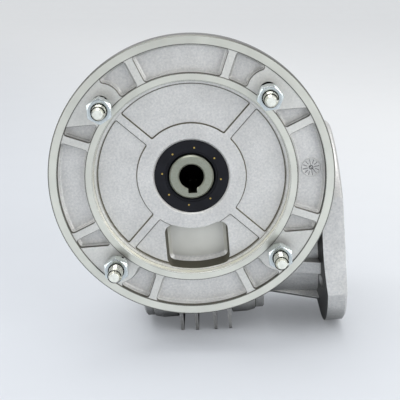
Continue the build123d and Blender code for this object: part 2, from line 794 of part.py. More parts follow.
def worm_shaft():
    half = worm_thread_length / 2
    tip = worm_tip_r
    run_out = tip - worm_root_r
    envelope = revolve(Plane.XZ * outline([
        (0, -half), (worm_root_r, -half), (tip, -half + run_out), (tip, half - run_out),
        (worm_root_r, half), (0, half),
    ]), Axis.Z, 360)
    thread = worm_thread() & envelope
    seat_r = input_shaft_d / 2
    collar_r = seat_r + 2
    neck_r = seat_r + 0.5
    rear_r = rear_journal_d / 2
    bore_end = shaft_face_y + input_bore_depth
    core = revolve(Plane.XZ * outline([
        (0, shaft_face_y), (seat_r - 0.8, shaft_face_y), (seat_r, shaft_face_y + 0.8),
        (seat_r, front_bearing_end),
        (collar_r, front_bearing_end), (collar_r, front_bearing_end + 4), (neck_r, front_bearing_end + 4),
        (neck_r, bore_end + 3), (worm_root_r, -half - 1), (worm_root_r, half + 1), (rear_r + 2.5, half + 3),
        (rear_r + 2.5, rear_bearing_y), (rear_r, rear_bearing_y), (rear_r, rear_bearing_end + 0.5),
        (rear_r - 1, rear_bearing_end + 1.5), (0, rear_bearing_end + 1.5),
    ]), Axis.Z, 360)
    worm = core + thread
    bore = Pos(0, 0, (shaft_face_y + bore_end) / 2) * Cylinder(input_bore_d / 2, input_bore_depth)
    mouth = Pos(0, 0, shaft_face_y + bore_chamfer / 2) * Cone(
        input_bore_d / 2 + bore_chamfer, input_bore_d / 2, bore_chamfer)
    key_depth = input_key_top
    key = Pos(0, key_depth / 2, shaft_face_y + input_bore_depth / 2 - 1) * Box(
        input_key_width, key_depth, input_bore_depth - 2)
    worm = worm - bore - mouth - key
    return Pos(0, 0, centre_distance) * Rot(-90, 0, 0) * worm


def involute(angle):
    return math.tan(angle) - angle


# Half the angle of a tooth space of the wheel at one radius
def space_half_angle(radius):
    base_r = wheel_pitch_r * math.cos(math.radians(pressure_angle))
    here = math.acos(min(1.0, base_r / radius))
    tooth = math.pi / (2 * wheel_teeth) + involute(math.radians(pressure_angle)) - involute(here)
    tooth = tooth - mesh_backlash / 4 / wheel_pitch_r
    return math.pi / wheel_teeth - tooth


# One tooth space as a skewed prism at the top of the wheel
def tooth_space():
    top = wheel_outer_r + 0.6
    radii = [wheel_root_r, (wheel_root_r + top) / 2, top]
    places = [(r * math.sin(space_half_angle(r)), r * math.cos(space_half_angle(r))) for r in radii]
    right = ThreePointArc(*places)
    left = ThreePointArc(*[(-y, z) for y, z in places])
    foot = Line(right @ 0, left @ 0)
    roof = Line(right @ 1, left @ 1)
    face = make_face([right, left, foot, roof])
    half = wheel_width / 2 + 1
    start = Plane(origin=(-half, half * lead_slope, 0), x_dir=(0, 1, 0), z_dir=(1, 0, 0))
    return extrude(start * face, amount=2 * half * math.hypot(1, lead_slope), dir=(1, -lead_slope, 0))


def wheel_rim():
    half = wheel_width / 2
    throat = centre_distance - wheel_throat_r
    reach = math.sqrt(throat ** 2 - (centre_distance - wheel_outer_r) ** 2)
    seat = wheel_rim_seat_d / 2 + press_gap
    shoulder = wheel_outer_r - 1.2
    sketch = make_face([
        Line((-half, seat), (half, seat)), Line((half, seat), (half, shoulder)),
        Line((half, shoulder), (half - 1.2, wheel_outer_r)),
        Line((half - 1.2, wheel_outer_r), (reach, wheel_outer_r)),
        ThreePointArc((reach, wheel_outer_r), (0, wheel_throat_r), (-reach, wheel_outer_r)),
        Line((-reach, wheel_outer_r), (-half + 1.2, wheel_outer_r)),
        Line((-half + 1.2, wheel_outer_r), (-half, shoulder)), Line((-half, shoulder), (-half, seat)),
    ])
    rim = revolve(sketch, Axis.X, 360)
    space = tooth_space()
    spaces = [Rot(360 / wheel_teeth * i, 0, 0) * space for i in range(wheel_teeth)]
    return rim - spaces


def output_hub():
    half = wheel_width / 2
    shaft_r = output_shaft_d / 2
    bore_r = output_bore_d / 2
    hub = turned_x([
        (-hub_half, bore_r + 1), (-hub_half, shaft_r - 1), (-hub_half + 1, shaft_r), (-bearing_x, shaft_r),
        (-bearing_x, output_collar_d / 2), (-half, output_collar_d / 2), (-half, wheel_rim_seat_d / 2),
        (half, wheel_rim_seat_d / 2), (half, output_collar_d / 2), (bearing_x, output_collar_d / 2),
        (bearing_x, shaft_r), (hub_half - 1, shaft_r), (hub_half, shaft_r - 1), (hub_half, bore_r + 1),
        (hub_half - 1, bore_r), (-hub_half + 1, bore_r),
    ])
    key = Pos(0, 0, output_key_top / 2) * Box(3 * hub_half, output_key_width, output_key_top)
    return hub - key


def rear_circlip():
    outer = rear_bearing["od"] / 2 + 1.2
    ring = rod_y(0, centre_distance, outer, rear_bearing_end + 0.15, rear_bearing_end + 1.65)
    ring = ring - rod_y(0, centre_distance, outer - 3.2, rear_bearing_end - 1, rear_bearing_end + 3)
    gap = Pos(0, rear_bearing_end + 1, centre_distance - outer) * Box(9, 6, 10)
    return ring - gap


def rear_cap():
    outer = rear_bearing["od"] / 2 - press_gap
    start = rear_bearing_end + 2.2
    end = rear_length - 0.5
    return turned_y([
        (start, outer - 0.6), (start + 0.6, outer), (end, outer), (end, outer - 2), (end - 2, outer - 3),
        (end - 2, 0), (start + 2.4, 0), (start + 2.4, outer - 3), (start, outer - 2.4),
    ])


def front_spacer():
    outer = front_bearing["od"] / 2
    return turned_y([
        (front_bearing_end, outer - 2.6), (front_bearing_end, outer), (front_bore_end, outer),
        (front_bore_end, outer - 2.6),
    ])


save(gearcase(), "gearcase")
save(motor_flange(), "motor_flange")
save(side_cover(), "side_cover")
save(output_flange(), "output_flange")
save(gasket_x(-1), "side_cover_gasket")
save(gasket_x(1), "output_flange_gasket")
save(motor_gasket(), "motor_flange_gasket")
save(cover_screws(-1), "side_cover_screws")
save(cover_screws(1), "output_flange_screws")
save(motor_flange_screws(), "motor_flange_screws")
save(at_bolts(motor_bolt), "motor_bolts")
save(at_bolts(spring_washer), "spring_washers")
save(at_bolts(motor_nut), "motor_nuts")
save(at_plugs(plug()), "oil_plugs")
save(at_plugs(plug_washer()), "plug_washers")
save(input_seal(), "input_seal")
save(output_seal(-1), "output_seal_left")
save(output_seal(1), "output_seal_right")
save(rear_circlip(), "rear_circlip")
save(rear_cap(), "rear_cap")
save(front_spacer(), "front_bearing_spacer")
save_worm_bearing("front_bearing", front_bearing_y, front_bearing, input_shaft_d / 2)
save_worm_bearing("rear_bearing", rear_bearing_y, rear_bearing, rear_journal_d / 2)
save_output_bearing("left_bearing", -1)
save_output_bearing("right_bearing", 1)
save(worm_shaft(), "worm_shaft")
save(wheel_rim(), "wheel_rim")
save(output_hub(), "output_hub")
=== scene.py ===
import math

import bmesh
import bpy
from bpy.props import FloatProperty, FloatVectorProperty, IntProperty, PointerProperty, StringProperty
from mathutils import Matrix, Vector


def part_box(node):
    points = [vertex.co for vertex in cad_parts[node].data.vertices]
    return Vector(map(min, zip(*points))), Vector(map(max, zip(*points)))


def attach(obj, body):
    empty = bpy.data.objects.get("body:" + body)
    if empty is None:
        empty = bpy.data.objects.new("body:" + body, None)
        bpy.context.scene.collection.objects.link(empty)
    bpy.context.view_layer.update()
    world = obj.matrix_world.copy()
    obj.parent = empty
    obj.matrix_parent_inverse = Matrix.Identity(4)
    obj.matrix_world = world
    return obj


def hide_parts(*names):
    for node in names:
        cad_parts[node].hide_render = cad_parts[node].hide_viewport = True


bl_info = {
    "name": "Worm gearbox",
    "version": (1, 0, 0),
    "blender": (4, 5, 0),
    "location": "View3D > Sidebar > Gearbox",
    "description": "Studs, seals, finishes and studio for a flanged worm gearbox",
    "category": "Object",
}

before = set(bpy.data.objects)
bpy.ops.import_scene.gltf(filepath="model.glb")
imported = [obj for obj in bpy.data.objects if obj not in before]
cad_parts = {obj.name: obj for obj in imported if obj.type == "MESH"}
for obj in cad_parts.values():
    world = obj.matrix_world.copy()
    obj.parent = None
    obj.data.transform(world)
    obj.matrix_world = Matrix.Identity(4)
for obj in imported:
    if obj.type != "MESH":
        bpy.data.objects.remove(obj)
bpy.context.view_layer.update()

# The worm shaft lies along Y at this height above the output shaft
SHAFT_HEIGHT = (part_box("worm_shaft")[0].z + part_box("worm_shaft")[1].z) / 2
# The front rim of the motor flange, which every depth on the flange is measured from
RIM_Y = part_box("motor_flange")[0].y

# Limits in metres that nothing on the gearbox reaches
LEAST, MOST = -1.0, 1.0
REGISTER_EDGE = 0.0545
RIM_SIDE = 0.0785, 0.0810
# Zones of the motor flange in metres: from and to which distance from the worm axis, or from a
# bolt's own axis for the bolt holes, and from and to which depth behind the front rim
ZONES = {
    "faced": ((REGISTER_EDGE, 0.0810), (-0.001, 0.0005)),
    "lands": ((0.0560, 0.0790), (0.0005, 0.0012)),
    "register": ((0.0533, 0.0556), (0.0, 0.0052)),
    "seal seat": ((0.0200, 0.0222), (0.0, 0.0080)),
    "recess": ((LEAST, 0.0500), (0.0085, 0.0300)),
    "shadowed": ((0.0225, 0.0760), (0.0002, 0.0145)),
    "open pocket": ((0.0560, 0.0900), (0.0024, 0.0100)),
    "pocket floors": ((REGISTER_EDGE, 0.0815), (0.0024, MOST)),
    "bolt holes": ((LEAST, 0.0052), (0.0012, 0.0200)),
}
# Finish of each casting: the reach of the painted shade from its neighbours, how closed a place
# has to be for it, the tone of that painted shade and the tone of the painted line along an edge
CASTINGS = (
    ("die-cast aluminium, blasted and faced", 0.012, (0.15, 0.65), 0.78, 0.30, ("motor_flange",)),
    ("die-cast aluminium, as cast", 0.035, (0.25, 0.68), 0.30, 1.25, ("gearcase", "side_cover")),
    ("die-cast aluminium, open side", 0.035, (0.25, 0.68), 0.55, 1.25, ("output_flange",)),
)
# Softboxes: name, place, width in metres and the setting that holds the power
SOFTBOXES = (
    ("softbox_above", (-0.1, -0.10, 1.15), 1.0, "key_light"),
    ("softbox_left", (-0.95, -0.90, 0.38), 0.9, "left_light"),
    ("softbox_right", (0.88, -1.00, 0.42), 0.9, "right_light"),
)


class CastingLook(bpy.types.PropertyGroup):
    cast_colour: StringProperty(
        name="Cast skin", description="Colour of the as-cast aluminium, sRGB hex", default="#DAD9D6")
    pit_colour: StringProperty(
        name="Cast pits", description="Colour of the low spots of the cast skin, sRGB hex", default="#C0C1C1")
    machined_colour: StringProperty(
        name="Faced skin", description="Colour of the faced aluminium, sRGB hex", default="#D6D7CE")
    # The bored colour is a painted warm reflection on the register and the seal's seat
    bore_highlight_colour: StringProperty(
        name="Bored skin", description="Colour of the bored aluminium, sRGB hex", default="#F2EED8")
    deep_colour: StringProperty(
        name="Recess skin", description="Colour of the skin in the deep recess, sRGB hex", default="#C6C6C0")
    # The crease colour is painted shade in the creases
    crease_shade_colour: StringProperty(
        name="Crease", description="Colour of the oil film in creases, sRGB hex", default="#5E583F")
    # The wall colour is painted shade on the steep walls
    wall_shade_colour: StringProperty(
        name="Walls", description="Colour of the unblasted steep walls, sRGB hex", default="#5F5C50")
    # The crease width is how far that painted shade reaches from a corner
    crease: FloatProperty(
        name="Crease width", description="How far the oil film reaches from a corner", default=0.0006,
        unit="LENGTH", precision=4)
    grain: FloatProperty(
        name="Grain", description="Size of one grain of the blasted skin", default=0.0013,
        unit="LENGTH", precision=4)
    cloud: FloatProperty(
        name="Cloud", description="Size of the paler and darker patches of the skin", default=0.01667,
        unit="LENGTH", precision=4)
    turning: FloatProperty(
        name="Turning feed", description="Spacing of the turning marks", default=0.0009,
        unit="LENGTH", precision=4)
    edge: FloatProperty(
        name="Edge radius", description="Rounding of the cast edges", default=0.0005,
        unit="LENGTH", precision=4)
    # The edge line is painted: painted shade on the motor flange, a painted highlight on the other castings
    edge_light_width: FloatProperty(
        name="Edge line", description="Width of the dusty or rubbed line along an edge", default=0.0008,
        unit="LENGTH", precision=4)
    skimmed: FloatProperty(
        name="Skimmed lands", description="Share of the faced colour on the lands of the rim", default=0.3)
    # This brightness is a painted highlight on the bores and the open walls
    painted_highlight: FloatProperty(
        name="Fresh walls", description="Brightness of the bores and the open walls", default=1.35)
    bolt_circle: FloatProperty(
        name="Bolt circle", description="Diameter of the circle of bolt holes", default=0.130,
        unit="LENGTH", precision=4)
    # The back of the output flange gets painted shade, as it faces away from the light
    back_shade_span: FloatVectorProperty(
        name="Flange back", description="Where the unblasted back of the output flange lies across", size=2,
        default=(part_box("output_flange")[1].x - 0.016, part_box("output_flange")[1].x - 0.008),
        unit="LENGTH", precision=4)


class StudSizes(bpy.types.PropertyGroup):
    diameter: FloatProperty(
        name="Thread", description="Outside diameter of the motor studs", default=0.008,
        unit="LENGTH", precision=4)
    tip_diameter: FloatProperty(
        name="Stud end", description="Diameter of the flat end of a stud", default=0.0051,
        unit="LENGTH", precision=4)
    pitch: FloatProperty(
        name="Pitch", description="Thread pitch", default=0.00125, unit="LENGTH", precision=5)
    flats: FloatProperty(
        name="Across flats", description="Width of the nuts and the hexagon heads", default=0.0128,
        unit="LENGTH", precision=4)
    head_height: FloatProperty(
        name="Head height", description="Height of the hexagon heads", default=0.0053,
        unit="LENGTH", precision=4)
    nut_height: FloatProperty(
        name="Nut height", description="Height of the nuts", default=0.0065, unit="LENGTH", precision=4)
    nut_gap: FloatProperty(
        name="Nut gap", description="Gap between the thread and the nut's mouth", default=0.00015,
        unit="LENGTH", precision=4)
    washer_diameter: FloatProperty(
        name="Washer", description="Outside diameter of the spring washers", default=0.0127,
        unit="LENGTH", precision=4)
    washer_thickness: FloatProperty(
        name="Washer thickness", description="Thickness of the spring washers", default=0.002,
        unit="LENGTH", precision=4)
    circle: FloatProperty(
        name="Bolt circle", description="Diameter of the circle of studs", default=0.130,
        unit="LENGTH", precision=4)
    upper_nut: FloatProperty(
        name="Upper nuts", description="How far the upper nuts stand out from the rim", default=0.016,
        unit="LENGTH", precision=4)
    lower_nut: FloatProperty(
        name="Lower nuts", description="How far the lower nuts stand out from the rim", default=0.0122,
        unit="LENGTH", precision=4)
    left_lean: FloatVectorProperty(
        name="Left lean", description="How far the upper left stud has sagged, across and up", size=2,
        default=(0.0008, -0.0010), unit="LENGTH", precision=4)
    right_lean: FloatVectorProperty(
        name="Right lean", description="How far the upper right stud has sagged, across and up", size=2,
        default=(0.0, -0.0015), unit="LENGTH", precision=4)
    zinc_colour: StringProperty(
        name="Zinc", description="Colour of the bright zinc, sRGB hex", default="#D6DEDF")
    thread_colour: StringProperty(
        name="Studs", description="Colour of the rolled thread, sRGB hex", default="#F0F1E6")
    oxide_colour: StringProperty(
        name="Black oxide", description="Colour of the cover screws, sRGB hex", default="#3A3B3D")


class DialSizes(bpy.types.PropertyGroup):
    radius: FloatProperty(
        name="Radius", description="Radius of the date insert", default=0.0053, unit="LENGTH", precision=4)
    offset: FloatProperty(
        name="Offset", description="Distance of the insert from the worm axis", default=0.0672,
        unit="LENGTH", precision=4)
    floor: FloatProperty(
        name="Floor", description="Depth of the pocket's floor behind the rim", default=0.006,
        unit="LENGTH", precision=4)
    height: FloatProperty(
        name="Relief", description="Height of the bars above the floor", default=0.0003,
        unit="LENGTH", precision=5)
    line: FloatProperty(
        name="Line", description="Width of one bar", default=0.0003, unit="LENGTH", precision=5)
    ticks: IntProperty(name="Ticks", description="Number of bare ticks", default=12, min=0)
    colour: StringProperty(
        name="Insert", description="Colour of the date insert's bars, sRGB hex", default="#8A8B8A")
    pointer: FloatProperty(
        name="Pointer", description="Direction of the pointer in degrees", default=135.0)


class SealSizes(bpy.types.PropertyGroup):
    rubber_colour: StringProperty(
        name="Rubber", description="Colour of the nitrile rubber, sRGB hex", default="#15161B")
    pip_colour: StringProperty(
        name="Pips", description="Colour of the moulded pips, sRGB hex", default="#B39A4E")
    pips: IntProperty(name="Pips", description="Number of moulded pips", default=8, min=0)
    pip_circle: FloatProperty(
        name="Pip circle", description="Diameter of the circle of pips", default=0.0332,
        unit="LENGTH", precision=4)
    pip_diameter: FloatProperty(
        name="Pip size", description="Diameter of a pip", default=0.0011, unit="LENGTH", precision=4)


class RunningLook(bpy.types.PropertyGroup):
    ground_colour: StringProperty(
        name="Shaft", description="Colour of the ground steel, sRGB hex", default="#9A9D90")
    # The bore colour is painted shade in the deep bore
    bore_shade_colour: StringProperty(
        name="Bore", description="Colour of the old oil in the input bore, sRGB hex", default="#0B0909")
    polished_colour: StringProperty(
        name="Bearings", description="Colour of the polished steel, sRGB hex", default="#CDD0D2")
    bronze_colour: StringProperty(
        name="Wheel rim", description="Colour of the machined bronze, sRGB hex", default="#C79A55")
    iron_colour: StringProperty(
        name="Output hub", description="Colour of the machined iron, sRGB hex", default="#7C7E7E")
    spring_colour: StringProperty(
        name="Circlip", description="Colour of the phosphated steel, sRGB hex", default="#4A4B4E")
    copper_colour: StringProperty(
        name="Plug washers", description="Colour of the soft copper, sRGB hex", default="#B8744C")
    fibre_colour: StringProperty(
        name="Gaskets", description="Colour of the gasket fibre, sRGB hex", default="#4D5246")


class StudioSetup(bpy.types.PropertyGroup):
    floor_colour: StringProperty(
        name="Floor", description="Colour of the floor near the camera, sRGB hex", default="#D6DAE0")
    backdrop_colour: StringProperty(
        name="Backdrop", description="Colour of the far floor, sRGB hex", default="#F0F2F4")
    fade: FloatVectorProperty(
        name="Fade", description="Where the floor starts and stops getting paler", size=2,
        default=(-0.25, 1.2), unit="LENGTH")
    fade_slant: FloatProperty(
        name="Fade slant", description="How much faster it gets paler to the right than away", default=1.6)
    plain_share: FloatProperty(
        name="Plain share", description="Share of the paper's tone that no shadow reaches", default=0.45,
        min=0.0, max=1.0)
    azimuth: FloatProperty(
        name="Camera azimuth", description="Turn of the camera from the input axis",
        default=math.radians(1.6), subtype="ANGLE")
    elevation: FloatProperty(
        name="Camera elevation", description="Height of the camera above the input axis",
        default=math.radians(15.29), subtype="ANGLE")
    roll: FloatProperty(
        name="Camera roll", description="Turn of the picture about the line of sight",
        default=math.radians(4.99), subtype="ANGLE")
    distance: FloatProperty(
        name="Camera distance", description="Distance from the rim of the motor flange",
        default=0.55598, unit="LENGTH", precision=4)
    offset: FloatVectorProperty(
        name="Camera offset", description="Sideways and upward move of the camera", size=2,
        default=(0.0048, -0.0114), unit="LENGTH", precision=4)
    lens: FloatProperty(
        name="Lens", description="Focal length in millimetres on a 36 mm sensor", default=90.0)
    tilt: FloatProperty(
        name="Floor tilt", description="Slope on which the gearbox rests on its fins and output flange",
        default=math.radians(4.79), subtype="ANGLE")
    key_light: FloatProperty(
        name="Key light", description="Power of the softbox above, in watts", default=9.0)
    left_light: FloatProperty(
        name="Left light", description="Power of the softbox in front at the left, in watts", default=4.4)
    right_light: FloatProperty(
        name="Right light", description="Power of the softbox in front at the right, in watts", default=9.2)
    room_colour: StringProperty(
        name="Room", description="Colour of the even light of the room, sRGB hex", default="#F4F5F6")
    room_light: FloatProperty(
        name="Room light", description="Strength of the even light of the room", default=0.80)
    front_share: FloatProperty(
        name="Front share", description="Share of the room's light that comes from the camera's side",
        default=0.55)
    seen_light: FloatProperty(
        name="Seen room", description="Strength of the room that shows past the paper", default=0.92)


def linear(code):
    """One sRGB hex colour as linear red, green, blue and alpha."""
    channels = [int(code[i:i + 2], 16) / 255 for i in (1, 3, 5)]
    return [c / 12.92 if c <= 0.04045 else ((c + 0.055) / 1.055) ** 2.4 for c in channels] + [1.0]


def add(tree, kind, inputs=None, **settings):
    """Adds one node, sets its properties, and links or sets its inputs. A node that is given
    as an input stands for its first output."""
    node = tree.nodes.new(kind)
    for name, value in settings.items():
        setattr(node, name, value)
    for key, value in (inputs or {}).items():
        if isinstance(value, bpy.types.Node):
            value = value.outputs[0]
        if isinstance(value, bpy.types.NodeSocket):
            tree.links.new(value, node.inputs[key])
        else:
            node.inputs[key].default_value = value
    return node


def new_material(name):
    """A material with an empty node tree, and that tree."""
    material = bpy.data.materials.new(name)
    material.use_nodes = True
    material.node_tree.nodes.clear()
    return material, material.node_tree


def dress(material, *nodes):
    """Gives carried-over nodes one finish."""
    for name in nodes:
        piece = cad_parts[name]
        piece.data.materials.clear()
        piece.data.materials.append(material)


def as_object(name, mesh_builder, material, body, slot, *replaced):
    """Turns a finished bmesh into a piece that rides on a body."""
    mesh = bpy.data.meshes.new(name)
    mesh_builder.to_mesh(mesh)
    mesh_builder.free()
    mesh.materials.append(material)
    piece = bpy.data.objects.new(name, mesh)
    bpy.context.scene.collection.objects.link(piece)
    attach(piece, body)
    if replaced:
        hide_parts(*replaced)
    return piece


def within(tree, value, low, high, soft=0.00015):
    """1 where a length lies between two limits, 0 elsewhere."""
    rise = add(tree, "ShaderNodeMapRange", {
        "Value": value, "From Min": low - soft, "From Max": low + soft})
    fall = add(tree, "ShaderNodeMapRange", {
        "Value": value, "From Min": high - soft, "From Max": high + soft, "To Min": 1.0, "To Max": 0.0})
    return add(tree, "ShaderNodeMath", {0: rise, 1: fall}, operation="MULTIPLY")


def zone(tree, name, distance, depth, soft=0.00015):
    """1 in a named zone of the motor flange, 0 elsewhere. Soft is how blurred its depths are."""
    across, deep = ZONES[name]
    return add(tree, "ShaderNodeMath", {
        0: within(tree, distance, *across), 1: within(tree, depth, *deep, soft)}, operation="MULTIPLY")


def about_worm_axis(tree, axes):
    """The way out from the worm axis, how far that is, and the depth behind the front rim."""
    rise = add(tree, "ShaderNodeMath", {0: axes["Z"], 1: SHAFT_HEIGHT}, operation="SUBTRACT")
    outward = add(tree, "ShaderNodeCombineXYZ", {"X": axes["X"], "Z": rise})
    radius = add(tree, "ShaderNodeVectorMath", {0: outward}, operation="LENGTH").outputs["Value"]
    depth = add(tree, "ShaderNodeMath", {0: axes["Y"], 1: RIM_Y}, operation="SUBTRACT")
    return outward, radius, depth


def uneven(tree, colour, pattern, darkest, palest, span=(0.3, 0.7)):
    """One colour that gets darker and paler with a pattern."""
    tone = add(tree, "ShaderNodeMapRange", {
        "Value": pattern, "From Min": span[0], "From Max": span[1], "To Min": darkest, "To Max": palest})
    return add(tree, "ShaderNodeVectorMath", {0: linear(colour)[:3], 1: tone}, operation="MULTIPLY")


def cast_and_turned_aluminium(look, name, reach, shade_span, shade_tone, edge_light_tone):
    """Die-cast aluminium, blasted and partly turned: a dull fine-grained skin, smoother and
    warmer where a tool has faced it, with painted shade, dark brown, in the creases. Reach is
    how far the painted shade of a neighbour goes, then how closed a place has to be for it,
    the tone of that painted shade, and the tone of the painted line along an edge."""
    material, tree = new_material(name)
    coordinates = add(tree, "ShaderNodeTexCoord").outputs
    place = coordinates["Object"]
    axes = add(tree, "ShaderNodeSeparateXYZ", {0: place}).outputs
    facing = add(tree, "ShaderNodeSeparateXYZ", {0: coordinates["Normal"]}).outputs
    outward, radius, depth = about_worm_axis(tree, axes)

    # Blasted grain, drawn coarser than the real 0.2 mm so that it shows
    grain = add(tree, "ShaderNodeTexNoise", {
        "Vector": place, "Scale": 1 / look.grain, "Detail": 3.0, "Roughness": 0.7})
    cloud = add(tree, "ShaderNodeTexNoise", {"Vector": place, "Scale": 1 / look.cloud, "Detail": 4.0})

    # Facing marks run round the worm axis, one ring to each turn of feed
    feed = add(tree, "ShaderNodeMath", {0: radius, 1: 2 * math.pi / look.turning}, operation="MULTIPLY")
    marks = add(tree, "ShaderNodeMath", {0: feed}, operation="SINE")

    # The tool has faced the rim and the inner ring, and bored the register and the seal's seat
    level = add(tree, "ShaderNodeMath", {0: facing["Y"]}, operation="ABSOLUTE")
    steep = add(tree, "ShaderNodeMapRange", {
        "Value": level, "From Min": 0.50, "From Max": 0.60, "To Min": 1.0, "To Max": 0.0})
    bores = add(tree, "ShaderNodeMath", {
        0: zone(tree, "register", radius, depth), 1: zone(tree, "seal seat", radius, depth)},
        operation="MAXIMUM")
    bored = add(tree, "ShaderNodeMath", {0: bores, 1: steep}, operation="MULTIPLY")
    faced = zone(tree, "faced", radius, depth)
    turned = add(tree, "ShaderNodeMath", {0: faced, 1: bored}, operation="MAXIMUM")
    skimmed = add(tree, "ShaderNodeMath", {
        0: zone(tree, "lands", radius, depth), 1: look.skimmed}, operation="MULTIPLY")

    mottle = add(tree, "ShaderNodeMapRange", {"Value": grain, "From Min": 0.3, "From Max": 0.7})
    mottled = add(tree, "ShaderNodeMix", {
        0: mottle, 6: linear(look.pit_colour), 7: linear(look.cast_colour)}, data_type="RGBA")
    lands = add(tree, "ShaderNodeMix", {
        0: skimmed, 6: mottled.outputs[2], 7: linear(look.machined_colour)}, data_type="RGBA")
    lower = add(tree, "ShaderNodeMix", {
        0: zone(tree, "recess", radius, depth), 6: lands.outputs[2], 7: linear(look.deep_colour)},
        data_type="RGBA")
    face = add(tree, "ShaderNodeMix", {
        0: bored, 6: linear(look.machined_colour), 7: linear(look.bore_highlight_colour)}, data_type="RGBA")
    skin = add(tree, "ShaderNodeMix", {0: turned, 6: lower.outputs[2], 7: face.outputs[2]}, data_type="RGBA")
    shade = add(tree, "ShaderNodeMapRange", {
        "Value": cloud, "From Min": 0.3, "From Max": 0.7, "To Min": 0.91, "To Max": 1.05})
    tinted = add(tree, "ShaderNodeVectorMath", {0: skin.outputs[2], 1: shade}, operation="MULTIPLY")

    # The steep walls of the motor flange get painted shade in an olive grey, but the lower half
    # of the outer pockets' walls is left out
    pocket = zone(tree, "open pocket", radius, depth, 0.0004)
    closed = add(tree, "ShaderNodeMath", {0: 1.0, 1: pocket}, operation="SUBTRACT")
    hidden = add(tree, "ShaderNodeMath", {
        0: zone(tree, "shadowed", radius, depth), 1: closed}, operation="MULTIPLY")
    walls = add(tree, "ShaderNodeMath", {0: steep, 1: hidden}, operation="MULTIPLY")
    wall_shade = add(tree, "ShaderNodeMath", {0: walls, 1: bored}, operation="SUBTRACT", use_clamp=True)
    wall_shaded = add(tree, "ShaderNodeMix", {0: wall_shade, 6: tinted, 7: linear(look.wall_shade_colour)}, data_type="RGBA")

    # Painted shade, dark brown, darkens the creases where two walls meet
    crease = add(tree, "ShaderNodeAmbientOcclusion", {"Distance": look.crease}, samples=8, only_local=True)
    crease_darkening = add(tree, "ShaderNodeMapRange", {
        "Value": crease.outputs["AO"], "From Min": 0.45, "From Max": 0.82, "To Min": 0.9, "To Max": 0.0})
    crease_shade_area = add(tree, "ShaderNodeMath", {0: closed, 1: bored}, operation="SUBTRACT", use_clamp=True)
    crease_shade = add(tree, "ShaderNodeMath", {0: crease_darkening, 1: crease_shade_area}, operation="MULTIPLY")
    crease_shaded = add(tree, "ShaderNodeMix", {
        0: crease_shade, 6: wall_shaded.outputs[2], 7: linear(look.crease_shade_colour)}, data_type="RGBA")

    # Painted shade blackens the bolt holes, which lie alike in the four quarters
    hole_at = look.bolt_circle / 2 * math.sqrt(0.5)
    quarter = add(tree, "ShaderNodeVectorMath", {0: outward}, operation="ABSOLUTE")
    from_bolt = add(tree, "ShaderNodeVectorMath", {
        0: quarter, 1: (hole_at, 0, hole_at)}, operation="DISTANCE")
    hole = zone(tree, "bolt holes", from_bolt.outputs["Value"], depth)
    hole_shade = add(tree, "ShaderNodeMapRange", {"Value": hole, "To Min": 1.0, "To Max": 0.03})

    # The edges of the rim and the ring have a painted line of their own, painted shade on the motor flange
    # and a painted highlight on the other castings, but not the floors of the pockets
    rounded = add(tree, "ShaderNodeBevel", {"Radius": look.edge}, samples=6)
    wide = add(tree, "ShaderNodeBevel", {"Radius": look.edge_light_width}, samples=8)
    turn_in = add(tree, "ShaderNodeVectorMath", {
        0: wide, 1: add(tree, "ShaderNodeNewGeometry").outputs["Normal"]}, operation="DOT_PRODUCT")
    painted_edge_line = add(tree, "ShaderNodeMapRange", {
        "Value": turn_in.outputs["Value"], "From Min": 0.90, "From Max": 0.995,
        "To Min": edge_light_tone, "To Max": 1.0})
    plain = add(tree, "ShaderNodeMath", {
        0: zone(tree, "pocket floors", radius, depth), 1: within(tree, radius, LEAST, REGISTER_EDGE)},
        operation="MAXIMUM")
    lined = add(tree, "ShaderNodeMix", {0: plain, 2: painted_edge_line, 3: 1.0}, data_type="FLOAT")
    # The outer side of the rim is darkened with painted shade
    slanted = add(tree, "ShaderNodeMapRange", {
        "Value": level, "From Min": 0.85, "From Max": 0.95, "To Min": 1.0, "To Max": 0.0})
    side = add(tree, "ShaderNodeMath", {0: within(tree, radius, *RIM_SIDE), 1: slanted}, operation="MULTIPLY")
    rim_side_shade = add(tree, "ShaderNodeMapRange", {"Value": side, "To Min": 1.0, "To Max": 0.30})
    outline = add(tree, "ShaderNodeMath", {0: lined, 1: rim_side_shade}, operation="MULTIPLY")
    marked = add(tree, "ShaderNodeMath", {0: hole_shade, 1: outline}, operation="MULTIPLY")

    # Painted shade darkens the skin where ribs, nuts and neighbouring castings stand close, and on the
    # output flange's back, which faces away from the light, while a painted highlight brightens the bores and
    # the open walls
    # Painted shade from an occlusion node, darker where neighbours stand close
    shade_ao = add(tree, "ShaderNodeAmbientOcclusion", {"Distance": reach}, samples=8, only_local=False)
    painted_shade = add(tree, "ShaderNodeMapRange", {
        "Value": shade_ao.outputs["AO"], "From Min": shade_span[0], "From Max": shade_span[1],
        "To Min": shade_tone, "To Max": 1.0})
    # Painted shade on the back of the output flange, which faces away from the light
    back = add(tree, "ShaderNodeMapRange", {
        "Value": facing["X"], "From Min": -0.9, "From Max": -0.6, "To Min": 0.25, "To Max": 1.0})
    behind = add(tree, "ShaderNodeMix", {
        0: within(tree, axes["X"], *look.back_shade_span, 0.001), 2: 1.0, 3: back}, data_type="FLOAT")
    tone = add(tree, "ShaderNodeMath", {0: painted_shade, 1: behind}, operation="MULTIPLY")
